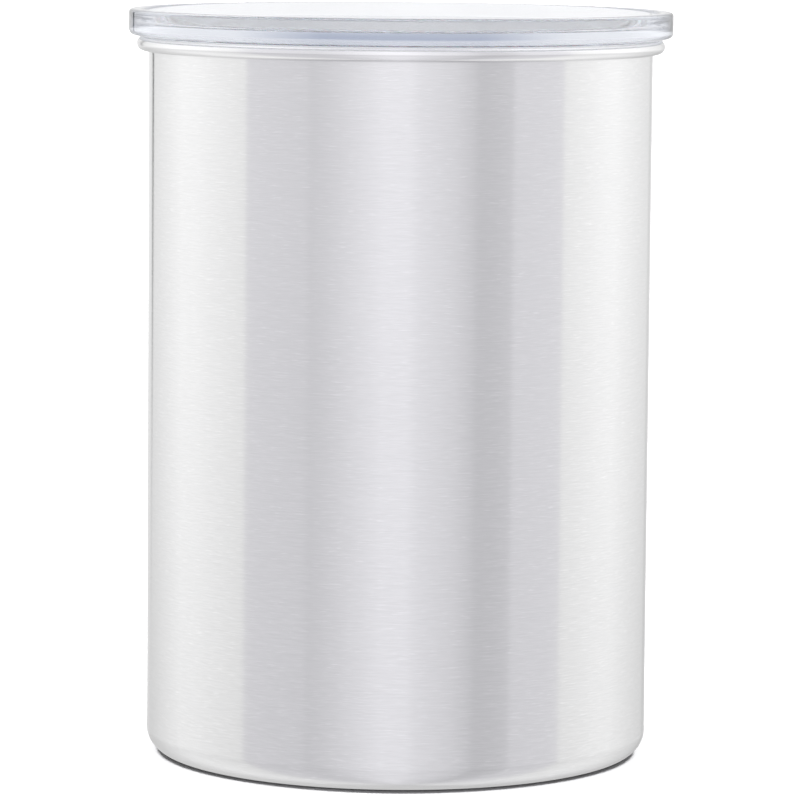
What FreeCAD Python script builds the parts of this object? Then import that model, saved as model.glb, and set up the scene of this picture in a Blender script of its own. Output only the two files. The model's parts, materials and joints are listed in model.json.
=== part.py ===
import FreeCAD, Part
import math
import os
import Sketcher

# Coffee canister: a steel can, a clear outer lid, and an inner lid that is pressed down on the coffee
# and holds a valve. The fold-down handle turns an eccentric, which lifts the valve off its vents.
# Millimetres, +Z up, origin at the middle of the base, front towards -Y.

SIZES = (
    # can
    ("can_dia", 126.0, "outside diameter of the steel wall"),
    ("can_wall", 0.6, "thickness of the steel sheet"),
    ("can_height", 180.0, "height of the rolled rim"),
    ("corner_radius", 5.9, "outside radius between wall and base"),
    ("foot_width", 6.0, "width of the ring that the can stands on"),
    ("base_rise", 1.6, "height of the stamped base panel above the foot"),
    ("base_ramp", 2.5, "width of the slope from foot to base panel"),
    ("curl_radius", 1.8, "outside radius of the rolled rim"),
    # outer lid
    ("lid_gap", 0.3, "gap between rolled rim and outer lid"),
    ("lid_overhang", 2.0, "reach of the outer lid past the rolled rim"),
    ("lid_height", 6.5, "height of the outer lid above its seat"),
    ("lid_rim_width", 3.6, "width of the outer lid's raised rim"),
    ("lid_recess", 3.6, "depth of the outer lid's panel below its rim"),
    ("lid_recess_draft", 0.6, "lean of the raised rim's inner side"),
    ("lid_panel", 2.2, "thickness of the outer lid's panel"),
    ("lid_top_round", 0.9, "rounding of the raised rim"),
    ("lid_seat_round", 1.4, "rounding of the outer lid's lower edge"),
    ("plug_gap", 1.2, "gap between plug ring and can"),
    ("plug_wall", 2.3, "thickness of the plug ring"),
    ("plug_depth", 9.5, "depth of the plug ring below its seat"),
    ("plug_edge_round", 0.5, "rounding of the plug ring's lower edges"),
    ("plug_groove", 1.0, "depth of the seal groove in the plug ring"),
    ("plug_groove_drop", 3.0, "seal groove's distance below the seat"),
    ("plug_groove_height", 3.6, "height of the seal groove in the plug ring"),
    ("seal_gap", 0.25, "gap between seal lips and can"),
    ("seal_fit", 0.05, "clearance of a seal in its groove"),
    # inner lid
    ("deck_drop", 60.0, "depth of the deck's top below the rolled rim"),
    ("deck_thick", 2.2, "thickness of the deck"),
    ("dish_rise", 16.0, "height of the dish wall above the deck"),
    ("dish_wall", 1.8, "thickness of the dish wall"),
    ("dish_foot_round", 3.0, "inside rounding between deck and dish wall"),
    ("dish_lip_reach", 1.4, "reach of the lip round the dish wall"),
    ("dish_lip_thick", 1.6, "thickness of the lip round the dish wall"),
    ("flange_gap", 0.8, "gap between seal flanges and can"),
    ("flange_thick", 1.6, "thickness of a seal flange"),
    ("flange_round", 0.5, "rounding of the inner lid's thin edges"),
    ("wiper_depth", 2.8, "depth of the wiper seal's groove"),
    ("wiper_height", 4.6, "height of the wiper seal's groove"),
    ("wiper_band", 1.3, "thickness of the wiper seal's band"),
    # valve
    ("lift", 1.6, "travel of the valve"),
    ("running_gap", 0.08, "radial clearance of a shaft in its bearing"),
    ("tail_dia", 3.0, "diameter of the stem's tail"),
    ("guide_wall", 1.6, "wall of the stem guide"),
    ("guide_drop", 2.2, "length of the stem guide below the deck"),
    ("wire_dia", 0.6, "diameter of the spring wire"),
    ("spring_gap", 0.5, "gap between spring and stem guide"),
    ("spring_length", 5.2, "length of the closed valve's spring"),
    ("spring_fit", 0.05, "clearance at the spring's ends"),
    ("washer_rim", 0.7, "reach of the washer past the spring"),
    ("washer_thick", 0.6, "thickness of the washer"),
    ("clip_thick", 0.5, "thickness of the retaining clip"),
    ("clip_fit", 0.05, "clearance of the retaining clip in its groove"),
    ("clip_groove", 0.4, "depth of the retaining clip's groove"),
    ("clip_width", 1.6, "width of the retaining clip's ring"),
    ("tail_end", 0.4, "length of the tail below the retaining clip"),
    ("vent_dia", 2.4, "diameter of a vent"),
    ("vent_margin", 0.5, "web between spring and vents"),
    ("seat_margin", 0.4, "web between vents and valve seat"),
    ("seat_width", 1.2, "width of the valve seat"),
    ("seat_height", 0.7, "height of the valve seat"),
    ("seat_gap", 0.05, "clearance of the closed disc above its seat"),
    ("disc_overlap", 0.8, "reach of the disc past its seat"),
    ("disc_thick", 1.4, "thickness of the disc"),
    ("disc_edge", 0.6, "thickness of the disc at its edge"),
    ("disc_fit", 0.05, "clearance of the disc on the tail"),
    ("head_thick", 1.6, "thickness of the stem's head"),
    ("relief_gap", 1.0, "free travel of the head under the cam"),
    ("yoke_wall", 1.8, "thickness of the yoke's posts"),
    ("yoke_gap", 0.4, "room between cam and yoke posts"),
    ("yoke_bar", 1.7, "thickness of the yoke's top bar"),
    ("cam_wall", 0.8, "least wall of the cam round the rod"),
    ("cam_width", 5.2, "width of the cam"),
    ("cam_side", 0.4, "reach of the yoke past each side of the cam"),
    ("cam_gap", 0.15, "clearance between cam and yoke bar"),
    # turret
    ("boss_gap", 0.4, "gap between disc and screw bosses"),
    ("boss_radius", 2.2, "radius of a screw boss"),
    ("boss_bite", 0.6, "overlap of a screw boss and the turret wall"),
    ("turret_wall", 1.8, "thickness of the turret wall"),
    ("turret_foot_round", 1.0, "rounding at the turret's foot"),
    ("cap_gap", 0.3, "gap between the lifted yoke and the cap"),
    ("cap_thick", 2.0, "thickness of the cap"),
    ("cap_round", 0.8, "rounding of the cap's edge"),
    ("tongue_gap", 0.25, "clearance of the cap's tongues"),
    ("slot_inner", 3.2, "distance of the cap's slots from the axis"),
    ("slot_outer", 9.0, "reach of the cap's slots from the axis"),
    ("slot_width", 1.8, "width of the cap's slots"),
    ("screw_dia", 2.0, "diameter of a screw's shank"),
    ("screw_length", 7.0, "length of a screw's shank"),
    ("screw_fit", 0.05, "clearance of a screw in its boss and cap"),
    ("screw_head_dia", 4.0, "diameter of a screw's head"),
    ("screw_head_height", 1.2, "height of a screw's head"),
    ("screw_head_gap", 0.2, "clearance of a screw's head in the cap"),
    ("screw_head_round", 0.4, "rounding of a screw's head"),
    ("drive_length", 2.4, "length of the cross slot in a screw"),
    ("drive_width", 0.6, "width of the cross slot in a screw"),
    ("drive_depth", 0.6, "depth of the cross slot in a screw"),
    ("pilot_depth", 8.0, "depth of the hole in a screw boss"),
    # strainer
    ("spigot_gap", 1.0, "reach of the strainer's spigot past the disc"),
    ("spigot_wall", 1.4, "thickness of the strainer's spigot"),
    ("spigot_drop", 2.4, "height of the strainer's spigot"),
    ("strainer_fit", 0.08, "clearance of the strainer on its spigot"),
    ("strainer_wall", 1.3, "thickness of the strainer's side"),
    ("strainer_floor", 1.2, "thickness of the strainer's floor"),
    ("strainer_room", 0.5, "gap between stem and strainer floor"),
    ("strainer_round", 0.9, "rounding of the strainer's lower edge"),
    ("sieve_dia", 1.8, "diameter of the strainer's holes"),
    ("sieve_inner", 4.0, "radius of the inner ring of holes"),
    ("sieve_outer", 8.0, "radius of the outer ring of holes"),
    # handle
    ("rod_dia", 3.0, "diameter of the pivot rod"),
    ("rod_reach", 29.0, "half the length of the pivot rod"),
    ("rod_fit", 0.05, "clearance of the rod in handle and cam"),
    ("socket_end", 0.5, "room beyond the rod's end in its socket"),
    ("handle_inner", 30.0, "inside radius of the handle's half ring"),
    ("handle_band", 10.0, "width of the handle's half ring"),
    ("handle_thick", 5.0, "thickness of the handle's half ring"),
    ("handle_round", 1.8, "rounding of the handle's half ring"),
    ("handle_side_gap", 0.6, "gap between turret and hinge barrels"),
    ("barrel_dia", 9.2, "diameter of the hinge barrels"),
    ("barrel_round", 2.2, "rounding of the hinge barrels' outer ends"),
    ("tab_width", 24.0, "width of the lift tab"),
    ("tab_reach", 4.0, "reach of the lift tab past the half ring"),
    ("tab_thick", 3.0, "thickness of the lift tab"),
    ("tab_round", 3.0, "rounding of the lift tab's corners"),
    ("rest_gap", 0.3, "gap between the folded handle and its rests"),
    ("rest_radius", 3.0, "radius of a handle rest"),
    # cutting
    ("overrun", 1.0, "reach of a cut past what it cuts"),
)

FULL_TURN = 360.0
VENT_COUNT = 8
SLOT_COUNT = 8
SIEVE_INNER_COUNT = 6
SIEVE_OUTER_COUNT = 12
SPRING_TURNS = 4
BIARCS_PER_TURN = 4
SPRING_SAMPLES_PER_TURN = 90

# Angles, in degrees.
CURL_TAIL_ANGLE = -115.0
FLAT_ANGLE = 45.0
REST_ANGLE = 27.0
CLIP_MOUTH_ANGLE = 40.0

# Places on a piece, as shares of the height that they follow, from the bottom up.
LID_SEAL_TIP_SHARES = (0.35, 0.65)
WIPER_LIP_SHARES = (
    # root below, tip below, tip above, root above
    (0.00, 0.20, 0.32, 0.34),
    (0.52, 0.72, 0.84, 0.86),
)
TOLERANCE_SHARE = 1e-6


class Size:
    """A length, with its value now and the formula in sheet cells that gives it."""

    def __init__(self, value, formula):
        self.value = value
        self.formula = formula

    def __add__(self, other):
        return Size(self.value + other.value, f"({self.formula} + {other.formula})")

    def __sub__(self, other):
        return Size(self.value - other.value, f"({self.formula} - {other.formula})")

    def __neg__(self):
        return Size(-self.value, f"(0 - {self.formula})")

    def __mul__(self, share):
        return Size(self.value * share, f"({self.formula} * ({share:.9f}))")

    def __truediv__(self, number):
        return Size(self.value / number, f"({self.formula} / {number})")


class Bend:
    """An arc that joins the two corners beside it in a loop."""

    def __init__(self, x, y, radius, clockwise=False):
        self.x = x
        self.y = y
        self.radius = radius
        self.clockwise = clockwise


doc = FreeCAD.newDocument("coffee_canister")
sheet = doc.addObject("Spreadsheet::Sheet", "dims")
for row, (alias, number, meaning) in enumerate(SIZES, start=1):
    sheet.set(f"A{row}", meaning)
    sheet.set(f"B{row}", str(number))
    sheet.setAlias(f"B{row}", alias)
doc.recompute()

ZERO = Size(0.0, "0")


def size(alias):
    """The sheet cell with this alias."""
    return Size(float(sheet.get(alias)), f"dims.{alias}")


def around(radius, angle):
    """The place at this radius and angle, in degrees, round the origin of a sketch."""
    turn = math.radians(angle)
    return radius * math.cos(turn), radius * math.sin(turn)


# Radii and heights of the can and the outer lid.
can_radius = size("can_dia") / 2
can_inner = can_radius - size("can_wall")
curl_centre = can_inner + size("curl_radius")
curl_height = size("can_height") - size("curl_radius")
lid_seat = size("can_height") + size("lid_gap")
lid_radius = curl_centre + size("curl_radius") + size("lid_overhang")
lid_top = lid_seat + size("lid_height")
lid_floor = lid_top - size("lid_recess")
plug_radius = can_inner - size("plug_gap")
groove_top = lid_seat - size("plug_groove_drop")
groove_bottom = groove_top - size("plug_groove_height")
groove_radius = plug_radius - size("plug_groove")
seal_radius = can_inner - size("seal_gap")

# Inner lid, measured from the middle of its deck's top.
deck_height = size("can_height") - size("deck_drop")
deck_bottom = -size("deck_thick")
flange_radius = can_inner - size("flange_gap")
dish_outer = flange_radius - size("wiper_depth")
dish_inner = dish_outer - size("dish_wall")
wiper_bottom = deck_bottom + size("flange_thick")
wiper_top = wiper_bottom + size("wiper_height")

# Valve heights, from the seat up to the cap.
disc_bottom = size("seat_height") + size("seat_gap")
disc_top = disc_bottom + size("disc_thick")
head_top = disc_top + size("head_thick")
rod_radius = size("rod_dia") / 2
cam_offset = size("lift") / 2
cam_throw = size("lift") * math.sqrt(0.5)
cam_radius = rod_radius + cam_throw + size("cam_wall")
pivot_height = head_top + size("relief_gap") + cam_offset + cam_radius
bar_bottom = pivot_height - cam_offset + cam_radius + size("cam_gap")
bar_top = bar_bottom + size("yoke_bar")
cap_bottom = bar_top + size("lift") + size("cap_gap")
cap_top = cap_bottom + size("cap_thick")

# Valve heights below the deck.
washer_top = deck_bottom - size("spring_length")
washer_bottom = washer_top - size("washer_thick")
clip_bottom = washer_bottom - size("clip_thick")
tail_bottom = clip_bottom - size("tail_end")
sieve_top = tail_bottom - size("strainer_room")
sieve_bottom = sieve_top - size("strainer_floor")

# Valve radii, from the stem out to the turret.
tail_radius = size("tail_dia") / 2
guide_bore = tail_radius + size("running_gap")
guide_radius = guide_bore + size("guide_wall")
spring_inner = guide_radius + size("spring_gap")
spring_radius = spring_inner + size("wire_dia") / 2
spring_outer = spring_inner + size("wire_dia")
vent_circle = spring_outer + size("vent_margin") + size("vent_dia") / 2
seat_inner = vent_circle + size("vent_dia") / 2 + size("seat_margin")
seat_outer = seat_inner + size("seat_width")
disc_radius = seat_outer + size("disc_overlap")
head_radius = seat_outer
boss_circle = disc_radius + size("boss_gap") + size("boss_radius")
turret_inner = boss_circle + size("boss_radius") - size("boss_bite")
turret_outer = turret_inner + size("turret_wall")
spigot_inner = disc_radius + size("spigot_gap")
spigot_outer = spigot_inner + size("spigot_wall")
screw_radius = size("screw_dia") / 2
screw_seat = cap_top - size("screw_head_height")

# Handle.
handle_outer = size("handle_inner") + size("handle_band")
handle_middle = size("handle_inner") + size("handle_band") / 2
barrel_start = turret_outer + size("handle_side_gap")
socket_radius = rod_radius + size("rod_fit")


def new_body(label, height=None):
    """An empty body, at this height above the base."""
    body = doc.addObject("PartDesign::Body", label)
    body.Label = label
    if height is not None:
        body.setExpression("Placement.Base.z", height.formula)
    return body


def new_sketch(body, name, role, up=None, out=None):
    """A sketch on one of the body's own planes, shifted up in the plane or out of it."""
    sketch = body.newObject("Sketcher::SketchObject", name)
    plane = next(feature for feature in body.Origin.OriginFeatures if feature.Role == role)
    sketch.AttachmentSupport = [(plane, "")]
    sketch.MapMode = "FlatFace"
    if up is not None:
        sketch.setExpression("AttachmentOffset.Base.y", up.formula)
    if out is not None:
        sketch.setExpression("AttachmentOffset.Base.z", out.formula)
    return sketch


def constrain(sketch, constraints):
    """Adds constraints, and binds those that come with a length."""
    first = sketch.ConstraintCount
    sketch.addConstraint([constraint for constraint, length in constraints])
    for number, (constraint, length) in enumerate(constraints, start=first):
        if length is not None:
            sketch.setExpression(f"Constraints[{number}]", length.formula)


def place_point(geometry, point, x, y):
    """Constraints that hold a point of the geometry at x, y."""
    return [
        (Sketcher.Constraint("DistanceX", -1, 1, geometry, point, x.value), x),
        (Sketcher.Constraint("DistanceY", -1, 1, geometry, point, y.value), y),
    ]


def draw_loop(sketch, steps):
    """Draws a closed loop of corners (x, y), with an arc for each Bend and a line where there is none."""
    corners = []
    bends = {}
    for step in steps:
        if isinstance(step, Bend):
            bends[len(corners) - 1] = step
        else:
            corners.append(step)
    first = sketch.GeometryCount
    count = len(corners)
    shapes = []
    ends = []
    constraints = []
    for number, (x, y) in enumerate(corners):
        next_x, next_y = corners[(number + 1) % count]
        start = FreeCAD.Vector(x.value, y.value)
        end = FreeCAD.Vector(next_x.value, next_y.value)
        bend = bends.get(number)
        if bend is None:
            shapes.append(Part.LineSegment(start, end))
            ends.append((1, 2))
            continue
        centre = FreeCAD.Vector(bend.x.value, bend.y.value)
        circle = Part.Circle(centre, FreeCAD.Vector(0, 0, 1), bend.radius.value)
        angles = [math.atan2((spot - centre).y, (spot - centre).x) for spot in (start, end)]
        if bend.clockwise:
            angles.reverse()
        shapes.append(Part.ArcOfCircle(circle, *angles))
        ends.append((2, 1) if bend.clockwise else (1, 2))
        constraints.append((Sketcher.Constraint("Radius", first + number, bend.radius.value), bend.radius))
    for number, (x, y) in enumerate(corners):
        following = (number + 1) % count
        constraints.append((Sketcher.Constraint(
            "Coincident", first + number, ends[number][1], first + following, ends[following][0]), None))
        constraints += place_point(first + number, ends[number][0], x, y)
    sketch.addGeometry(shapes, False)
    constrain(sketch, constraints)


def draw_circle(sketch, x, y, radius):
    """Draws a full circle."""
    number = sketch.GeometryCount
    centre = FreeCAD.Vector(x.value, y.value)
    sketch.addGeometry(Part.Circle(centre, FreeCAD.Vector(0, 0, 1), radius.value), False)
    constraints = [(Sketcher.Constraint("Radius", number, radius.value), radius)]
    constrain(sketch, constraints + place_point(number, 3, x, y))


def draw_box(sketch, left, right, bottom, top):
    """Draws a rectangle."""
    draw_loop(sketch, [(left, bottom), (right, bottom), (right, top), (left, top)])


def draw_keyed_hole(sketch, radius):
    """Draws a round hole with a flat on its upper side, round the origin."""
    right = around(radius, FLAT_ANGLE)
    left = (-right[0], right[1])
    draw_loop(sketch, [left, Bend(ZERO, ZERO, radius), right])


def revolve(body, name, sketch, axis="V_Axis"):
    """Turns a sketch right round one of its axes."""
    feature = body.newObject("PartDesign::Revolution", name)
    feature.Profile = sketch
    feature.ReferenceAxis = (sketch, [axis])
    feature.Angle = FULL_TURN
    doc.recompute()
    return feature


def turned_body(label, steps, height=None):
    """A body turned round Z from a loop of radii and heights."""
    body = new_body(label, height)
    sketch = new_sketch(body, label + "_section", "XZ_Plane")
    draw_loop(sketch, steps)
    revolve(body, label + "_turned", sketch)
    return body


def pad(body, name, sketch, length, both_ways=False, backwards=False):
    """Adds a sketch's area, drawn out by length."""
    feature = body.newObject("PartDesign::Pad", name)
    feature.Profile = sketch
    feature.setExpression("Length", length.formula)
    feature.SideType = "Symmetric" if both_ways else "One side"
    feature.Reversed = backwards
    doc.recompute()
    return feature


def pocket(body, name, sketch, length, both_ways=False):
    """Cuts a sketch's area out, against the sketch's direction, and makes sure that it cut something."""
    before = body.Tip.Shape.Volume
    feature = body.newObject("PartDesign::Pocket", name)
    feature.Profile = sketch
    feature.setExpression("Length", length.formula)
    feature.SideType = "Symmetric" if both_ways else "One side"
    doc.recompute()
    if not feature.Shape.Volume < before:
        raise ValueError(f"{name} cuts nothing")
    return feature


def repeat_round(body, name, feature, count):
    """Repeats a feature evenly round Z."""
    pattern = body.newObject("PartDesign::PolarPattern", name)
    axis = next(line for line in body.Origin.OriginFeatures if line.Role == "Z_Axis")
    pattern.Originals = [feature]
    pattern.Axis = (axis, [""])
    pattern.Angle = FULL_TURN
    pattern.Occurrences = count
    body.Tip = pattern
    doc.recompute()


def round_rings(body, name, radius, spots):
    """Rounds the circles that lie at these radii and heights."""
    base = body.Tip
    tolerance = TOLERANCE_SHARE * base.Shape.BoundBox.DiagonalLength
    edges = []
    for number, edge in enumerate(base.Shape.Edges, start=1):
        curve = edge.Curve
        if isinstance(curve, Part.Circle) and any(
            abs(curve.Radius - ring.value) < tolerance and abs(curve.Center.z - level.value) < tolerance
            for ring, level in spots
        ):
            edges.append(f"Edge{number}")
    feature = body.newObject("PartDesign::Fillet", name)
    feature.Base = (base, edges)
    feature.setExpression("Radius", radius.formula)
    doc.recompute()
    return feature


def make_can_shell():
    """The drawn steel can, with a stamped base and a hollow rolled rim."""
    wall = size("can_wall")
    corner = size("corner_radius")
    corner_centre = can_radius - corner
    foot_inner = corner_centre - size("foot_width")
    panel = foot_inner - size("base_ramp")
    rise = size("base_rise")
    curl = size("curl_radius")
    tail_outer = around(curl, CURL_TAIL_ANGLE)
    tail_inner = around(curl - wall, CURL_TAIL_ANGLE)
    return turned_body("can_shell", [
        (ZERO, rise),
        (panel, rise),
        (foot_inner, ZERO),
        (corner_centre, ZERO),
        Bend(corner_centre, corner, corner),
        (can_radius, corner),
        (can_radius, curl_height),
        Bend(curl_centre, curl_height, curl - wall, clockwise=True),
        (curl_centre + tail_inner[0], curl_height + tail_inner[1]),
        (curl_centre + tail_outer[0], curl_height + tail_outer[1]),
        Bend(curl_centre, curl_height, curl),
        (can_inner, curl_height),
        (can_inner, corner),
        Bend(corner_centre, corner, corner - wall, clockwise=True),
        (corner_centre, wall),
        (foot_inner, wall),
        (panel, rise + wall),
        (ZERO, rise + wall),
    ])


def make_lid_cover():
    """The clear outer lid: raised rim, recessed panel, and a plug ring with a seal groove."""
    plug_inner = plug_radius - size("plug_wall")
    plug_bottom = lid_seat - size("plug_depth")
    rim_inner = lid_radius - size("lid_rim_width")
    recess_radius = rim_inner - size("lid_recess_draft")
    panel_bottom = lid_floor - size("lid_panel")
    body = turned_body("lid_cover", [
        (ZERO, panel_bottom),
        (plug_inner, panel_bottom),
        (plug_inner, plug_bottom),
        (plug_radius, plug_bottom),
        (plug_radius, groove_bottom),
        (groove_radius, groove_bottom),
        (groove_radius, groove_top),
        (plug_radius, groove_top),
        (plug_radius, lid_seat),
        (lid_radius, lid_seat),
        (lid_radius, lid_top),
        (rim_inner, lid_top),
        (recess_radius, lid_floor),
        (ZERO, lid_floor),
    ])
    round_rings(body, "lid_seat_rounding", size("lid_seat_round"), [(lid_radius, lid_seat)])
    round_rings(body, "lid_top_rounding", size("lid_top_round"), [
        (lid_radius, lid_top),
        (rim_inner, lid_top),
        (recess_radius, lid_floor),
    ])
    round_rings(body, "plug_rounding", size("plug_edge_round"), [
        (plug_inner, plug_bottom),
        (plug_radius, plug_bottom),
    ])
    return body


def make_lid_seal():
    """The silicone ring in the plug ring's groove."""
    fit = size("seal_fit")
    inner = groove_radius + fit
    bottom = groove_bottom + fit
    top = groove_top - fit
    tip_low, tip_high = [bottom + (top - bottom) * share for share in LID_SEAL_TIP_SHARES]
    return turned_body("lid_seal", [
        (inner, bottom),
        (plug_radius, bottom),
        (seal_radius, tip_low),
        (seal_radius, tip_high),
        (plug_radius, top),
        (inner, top),
    ])


def make_plunger_body():
    """The moulded inner lid: deck, dish wall, seal flanges, valve turret, seat, vents and handle rests."""
    guide_bottom = deck_bottom - size("guide_drop")
    spigot_bottom = deck_bottom - size("spigot_drop")
    flange_top = wiper_top + size("flange_thick")
    dish_top = size("dish_rise")
    lip_bottom = dish_top - size("dish_lip_thick")
    lip_radius = dish_outer + size("dish_lip_reach")
    seat_top = size("seat_height")
    body = turned_body("plunger_body", [
        (guide_bore, guide_bottom),
        (guide_radius, guide_bottom),
        (guide_radius, deck_bottom),
        (spigot_inner, deck_bottom),
        (spigot_inner, spigot_bottom),
        (spigot_outer, spigot_bottom),
        (spigot_outer, deck_bottom),
        (flange_radius, deck_bottom),
        (flange_radius, wiper_bottom),
        (dish_outer, wiper_bottom),
        (dish_outer, wiper_top),
        (flange_radius, wiper_top),
        (flange_radius, flange_top),
        (dish_outer, flange_top),
        (dish_outer, lip_bottom),
        (lip_radius, lip_bottom),
        (lip_radius, dish_top),
        (dish_inner, dish_top),
        (dish_inner, ZERO),
        (turret_outer, ZERO),
        (turret_outer, cap_bottom),
        (turret_inner, cap_bottom),
        (turret_inner, ZERO),
        (seat_outer, ZERO),
        (seat_outer, seat_top),
        (seat_inner, seat_top),
        (seat_inner, ZERO),
        (guide_bore, ZERO),
    ], deck_height)
    round_rings(body, "dish_rounding", size("dish_foot_round"), [(dish_inner, ZERO)])
    round_rings(body, "turret_rounding", size("turret_foot_round"), [(turret_outer, ZERO)])
    round_rings(body, "edge_rounding", size("flange_round"), [
        (flange_radius, deck_bottom),
        (flange_radius, flange_top),
        (lip_radius, lip_bottom),
        (lip_radius, dish_top),
        (dish_inner, dish_top),
    ])

    bosses = new_sketch(body, "boss_circles", "XY_Plane")
    pilots = new_sketch(body, "pilot_circles", "XY_Plane", out=cap_bottom)
    for y in (boss_circle, -boss_circle):
        draw_circle(bosses, ZERO, y, size("boss_radius"))
        draw_circle(pilots, ZERO, y, screw_radius + size("screw_fit"))
    pad(body, "screw_bosses", bosses, cap_bottom)
    pocket(body, "pilot_holes", pilots, size("pilot_depth"))

    rests = new_sketch(body, "rest_circles", "XY_Plane")
    for angle in (-90.0 - REST_ANGLE, -90.0 + REST_ANGLE):
        draw_circle(rests, *around(handle_middle, angle), size("rest_radius"))
    pad(body, "handle_rests", rests, pivot_height - size("handle_thick") / 2 - size("rest_gap"))

    vent = new_sketch(body, "vent_circle", "XY_Plane")
    draw_circle(vent, vent_circle, ZERO, size("vent_dia") / 2)
    repeat_round(body, "vents", pocket(body, "vent", vent, size("deck_thick") + size("overrun")), VENT_COUNT)

    bearing = rod_radius + size("running_gap")
    slot_top = cap_bottom - pivot_height + size("overrun")
    slot = new_sketch(body, "bearing_slot", "YZ_Plane", up=pivot_height)
    draw_loop(slot, [
        (-bearing, slot_top),
        (-bearing, ZERO),
        Bend(ZERO, ZERO, bearing),
        (ZERO, -bearing),
        Bend(ZERO, ZERO, bearing),
        (bearing, ZERO),
        (bearing, slot_top),
    ])
    pocket(body, "bearings", slot, (turret_outer + size("overrun")) * 2, both_ways=True)
    return body


def make_plunger_seal():
    """The silicone wiper round the inner lid, with two thin lips."""
    fit = size("seal_fit")
    inner = dish_outer + fit
    band = inner + size("wiper_band")
    bottom = wiper_bottom + fit
    tall = wiper_top - wiper_bottom - fit * 2
    steps = [(inner, bottom)]
    for root_low, tip_low, tip_high, root_high in WIPER_LIP_SHARES:
        steps += [
            (band, bottom + tall * root_low),
            (seal_radius, bottom + tall * tip_low),
            (seal_radius, bottom + tall * tip_high),
            (band, bottom + tall * root_high),
        ]
    steps += [(band, bottom + tall), (inner, bottom + tall)]
    return turned_body("plunger_seal", steps, deck_height)


def make_turret_cap():
    """The turret's cover, with air slots, screw holes, and tongues that close the rod's bearings."""
    body = turned_body("turret_cap", [
        (ZERO, cap_bottom),
        (turret_outer, cap_bottom),
        (turret_outer, cap_top),
        (ZERO, cap_top),
    ], deck_height)
    round_rings(body, "cap_rounding", size("cap_round"), [(turret_outer, cap_top)])

    gap = size("tongue_gap")
    half_tongue = rod_radius + size("running_gap") - gap
    tongues = new_sketch(body, "tongue_outlines", "XY_Plane", out=cap_bottom)
    draw_box(tongues, turret_inner + gap, turret_outer - gap, -half_tongue, half_tongue)
    draw_box(tongues, gap - turret_outer, -turret_inner - gap, -half_tongue, half_tongue)
    tongue_bottom = pivot_height + rod_radius + size("running_gap")
    pad(body, "tongues", tongues, cap_bottom - tongue_bottom, backwards=True)

    holes = new_sketch(body, "screw_hole_circles", "XY_Plane", out=cap_top)
    sinks = new_sketch(body, "screw_sink_circles", "XY_Plane", out=cap_top)
    for y in (boss_circle, -boss_circle):
        draw_circle(holes, ZERO, y, screw_radius + size("screw_fit"))
        draw_circle(sinks, ZERO, y, size("screw_head_dia") / 2 + size("screw_head_gap"))
    pocket(body, "screw_holes", holes, size("cap_thick") + size("overrun"))
    pocket(body, "screw_sinks", sinks, size("screw_head_height"))

    half_slot = size("slot_width") / 2
    slot = new_sketch(body, "slot_outline", "XY_Plane", out=cap_top)
    draw_box(slot, size("slot_inner"), size("slot_outer"), -half_slot, half_slot)
    one_slot = pocket(body, "slot", slot, size("cap_thick") + size("overrun"))
    repeat_round(body, "slots", one_slot, SLOT_COUNT)
    return body


def make_cap_screws():
    """The two pan-head screws that hold the turret's cover."""
    body = new_body("cap_screws", deck_height)
    shanks = new_sketch(body, "shank_circles", "XY_Plane", out=screw_seat)
    heads = new_sketch(body, "head_circles", "XY_Plane", out=screw_seat)
    for y in (boss_circle, -boss_circle):
        draw_circle(shanks, ZERO, y, screw_radius)
        draw_circle(heads, ZERO, y, size("screw_head_dia") / 2)
    pad(body, "shanks", shanks, size("screw_length"), backwards=True)
    pad(body, "heads", heads, size("screw_head_height"))
    round_rings(body, "head_rounding", size("screw_head_round"), [(size("screw_head_dia") / 2, cap_top)])

    half_length = size("drive_length") / 2
    half_width = size("drive_width") / 2
    for name, half_x, half_y in (("drive_across", half_length, half_width), ("drive_along", half_width, half_length)):
        drive = new_sketch(body, name + "_outline", "XY_Plane", out=cap_top)
        for y in (boss_circle, -boss_circle):
            draw_box(drive, -half_x, half_x, y - half_y, y + half_y)
        pocket(body, name, drive, size("drive_depth"))
    return body


def make_strainer():
    """The perforated cup under the valve."""
    inner = spigot_outer + size("strainer_fit")
    outer = inner + size("strainer_wall")
    body = turned_body("strainer", [
        (ZERO, sieve_bottom),
        (outer, sieve_bottom),
        (outer, deck_bottom),
        (inner, deck_bottom),
        (inner, sieve_top),
        (ZERO, sieve_top),
    ], deck_height)
    round_rings(body, "strainer_rounding", size("strainer_round"), [(outer, sieve_bottom)])
    depth = size("strainer_floor") + size("overrun")
    middle = new_sketch(body, "sieve_middle_circle", "XY_Plane", out=sieve_top)
    draw_circle(middle, ZERO, ZERO, size("sieve_dia") / 2)
    pocket(body, "sieve_middle", middle, depth)
    for name, ring, count in (
        ("sieve_inner", size("sieve_inner"), SIEVE_INNER_COUNT),
        ("sieve_outer", size("sieve_outer"), SIEVE_OUTER_COUNT),
    ):
        hole = new_sketch(body, name + "_circle", "XY_Plane", out=sieve_top)
        draw_circle(hole, ring, ZERO, size("sieve_dia") / 2)
        repeat_round(body, name + "_holes", pocket(body, name + "_hole", hole, depth), count)
    return body


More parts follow.
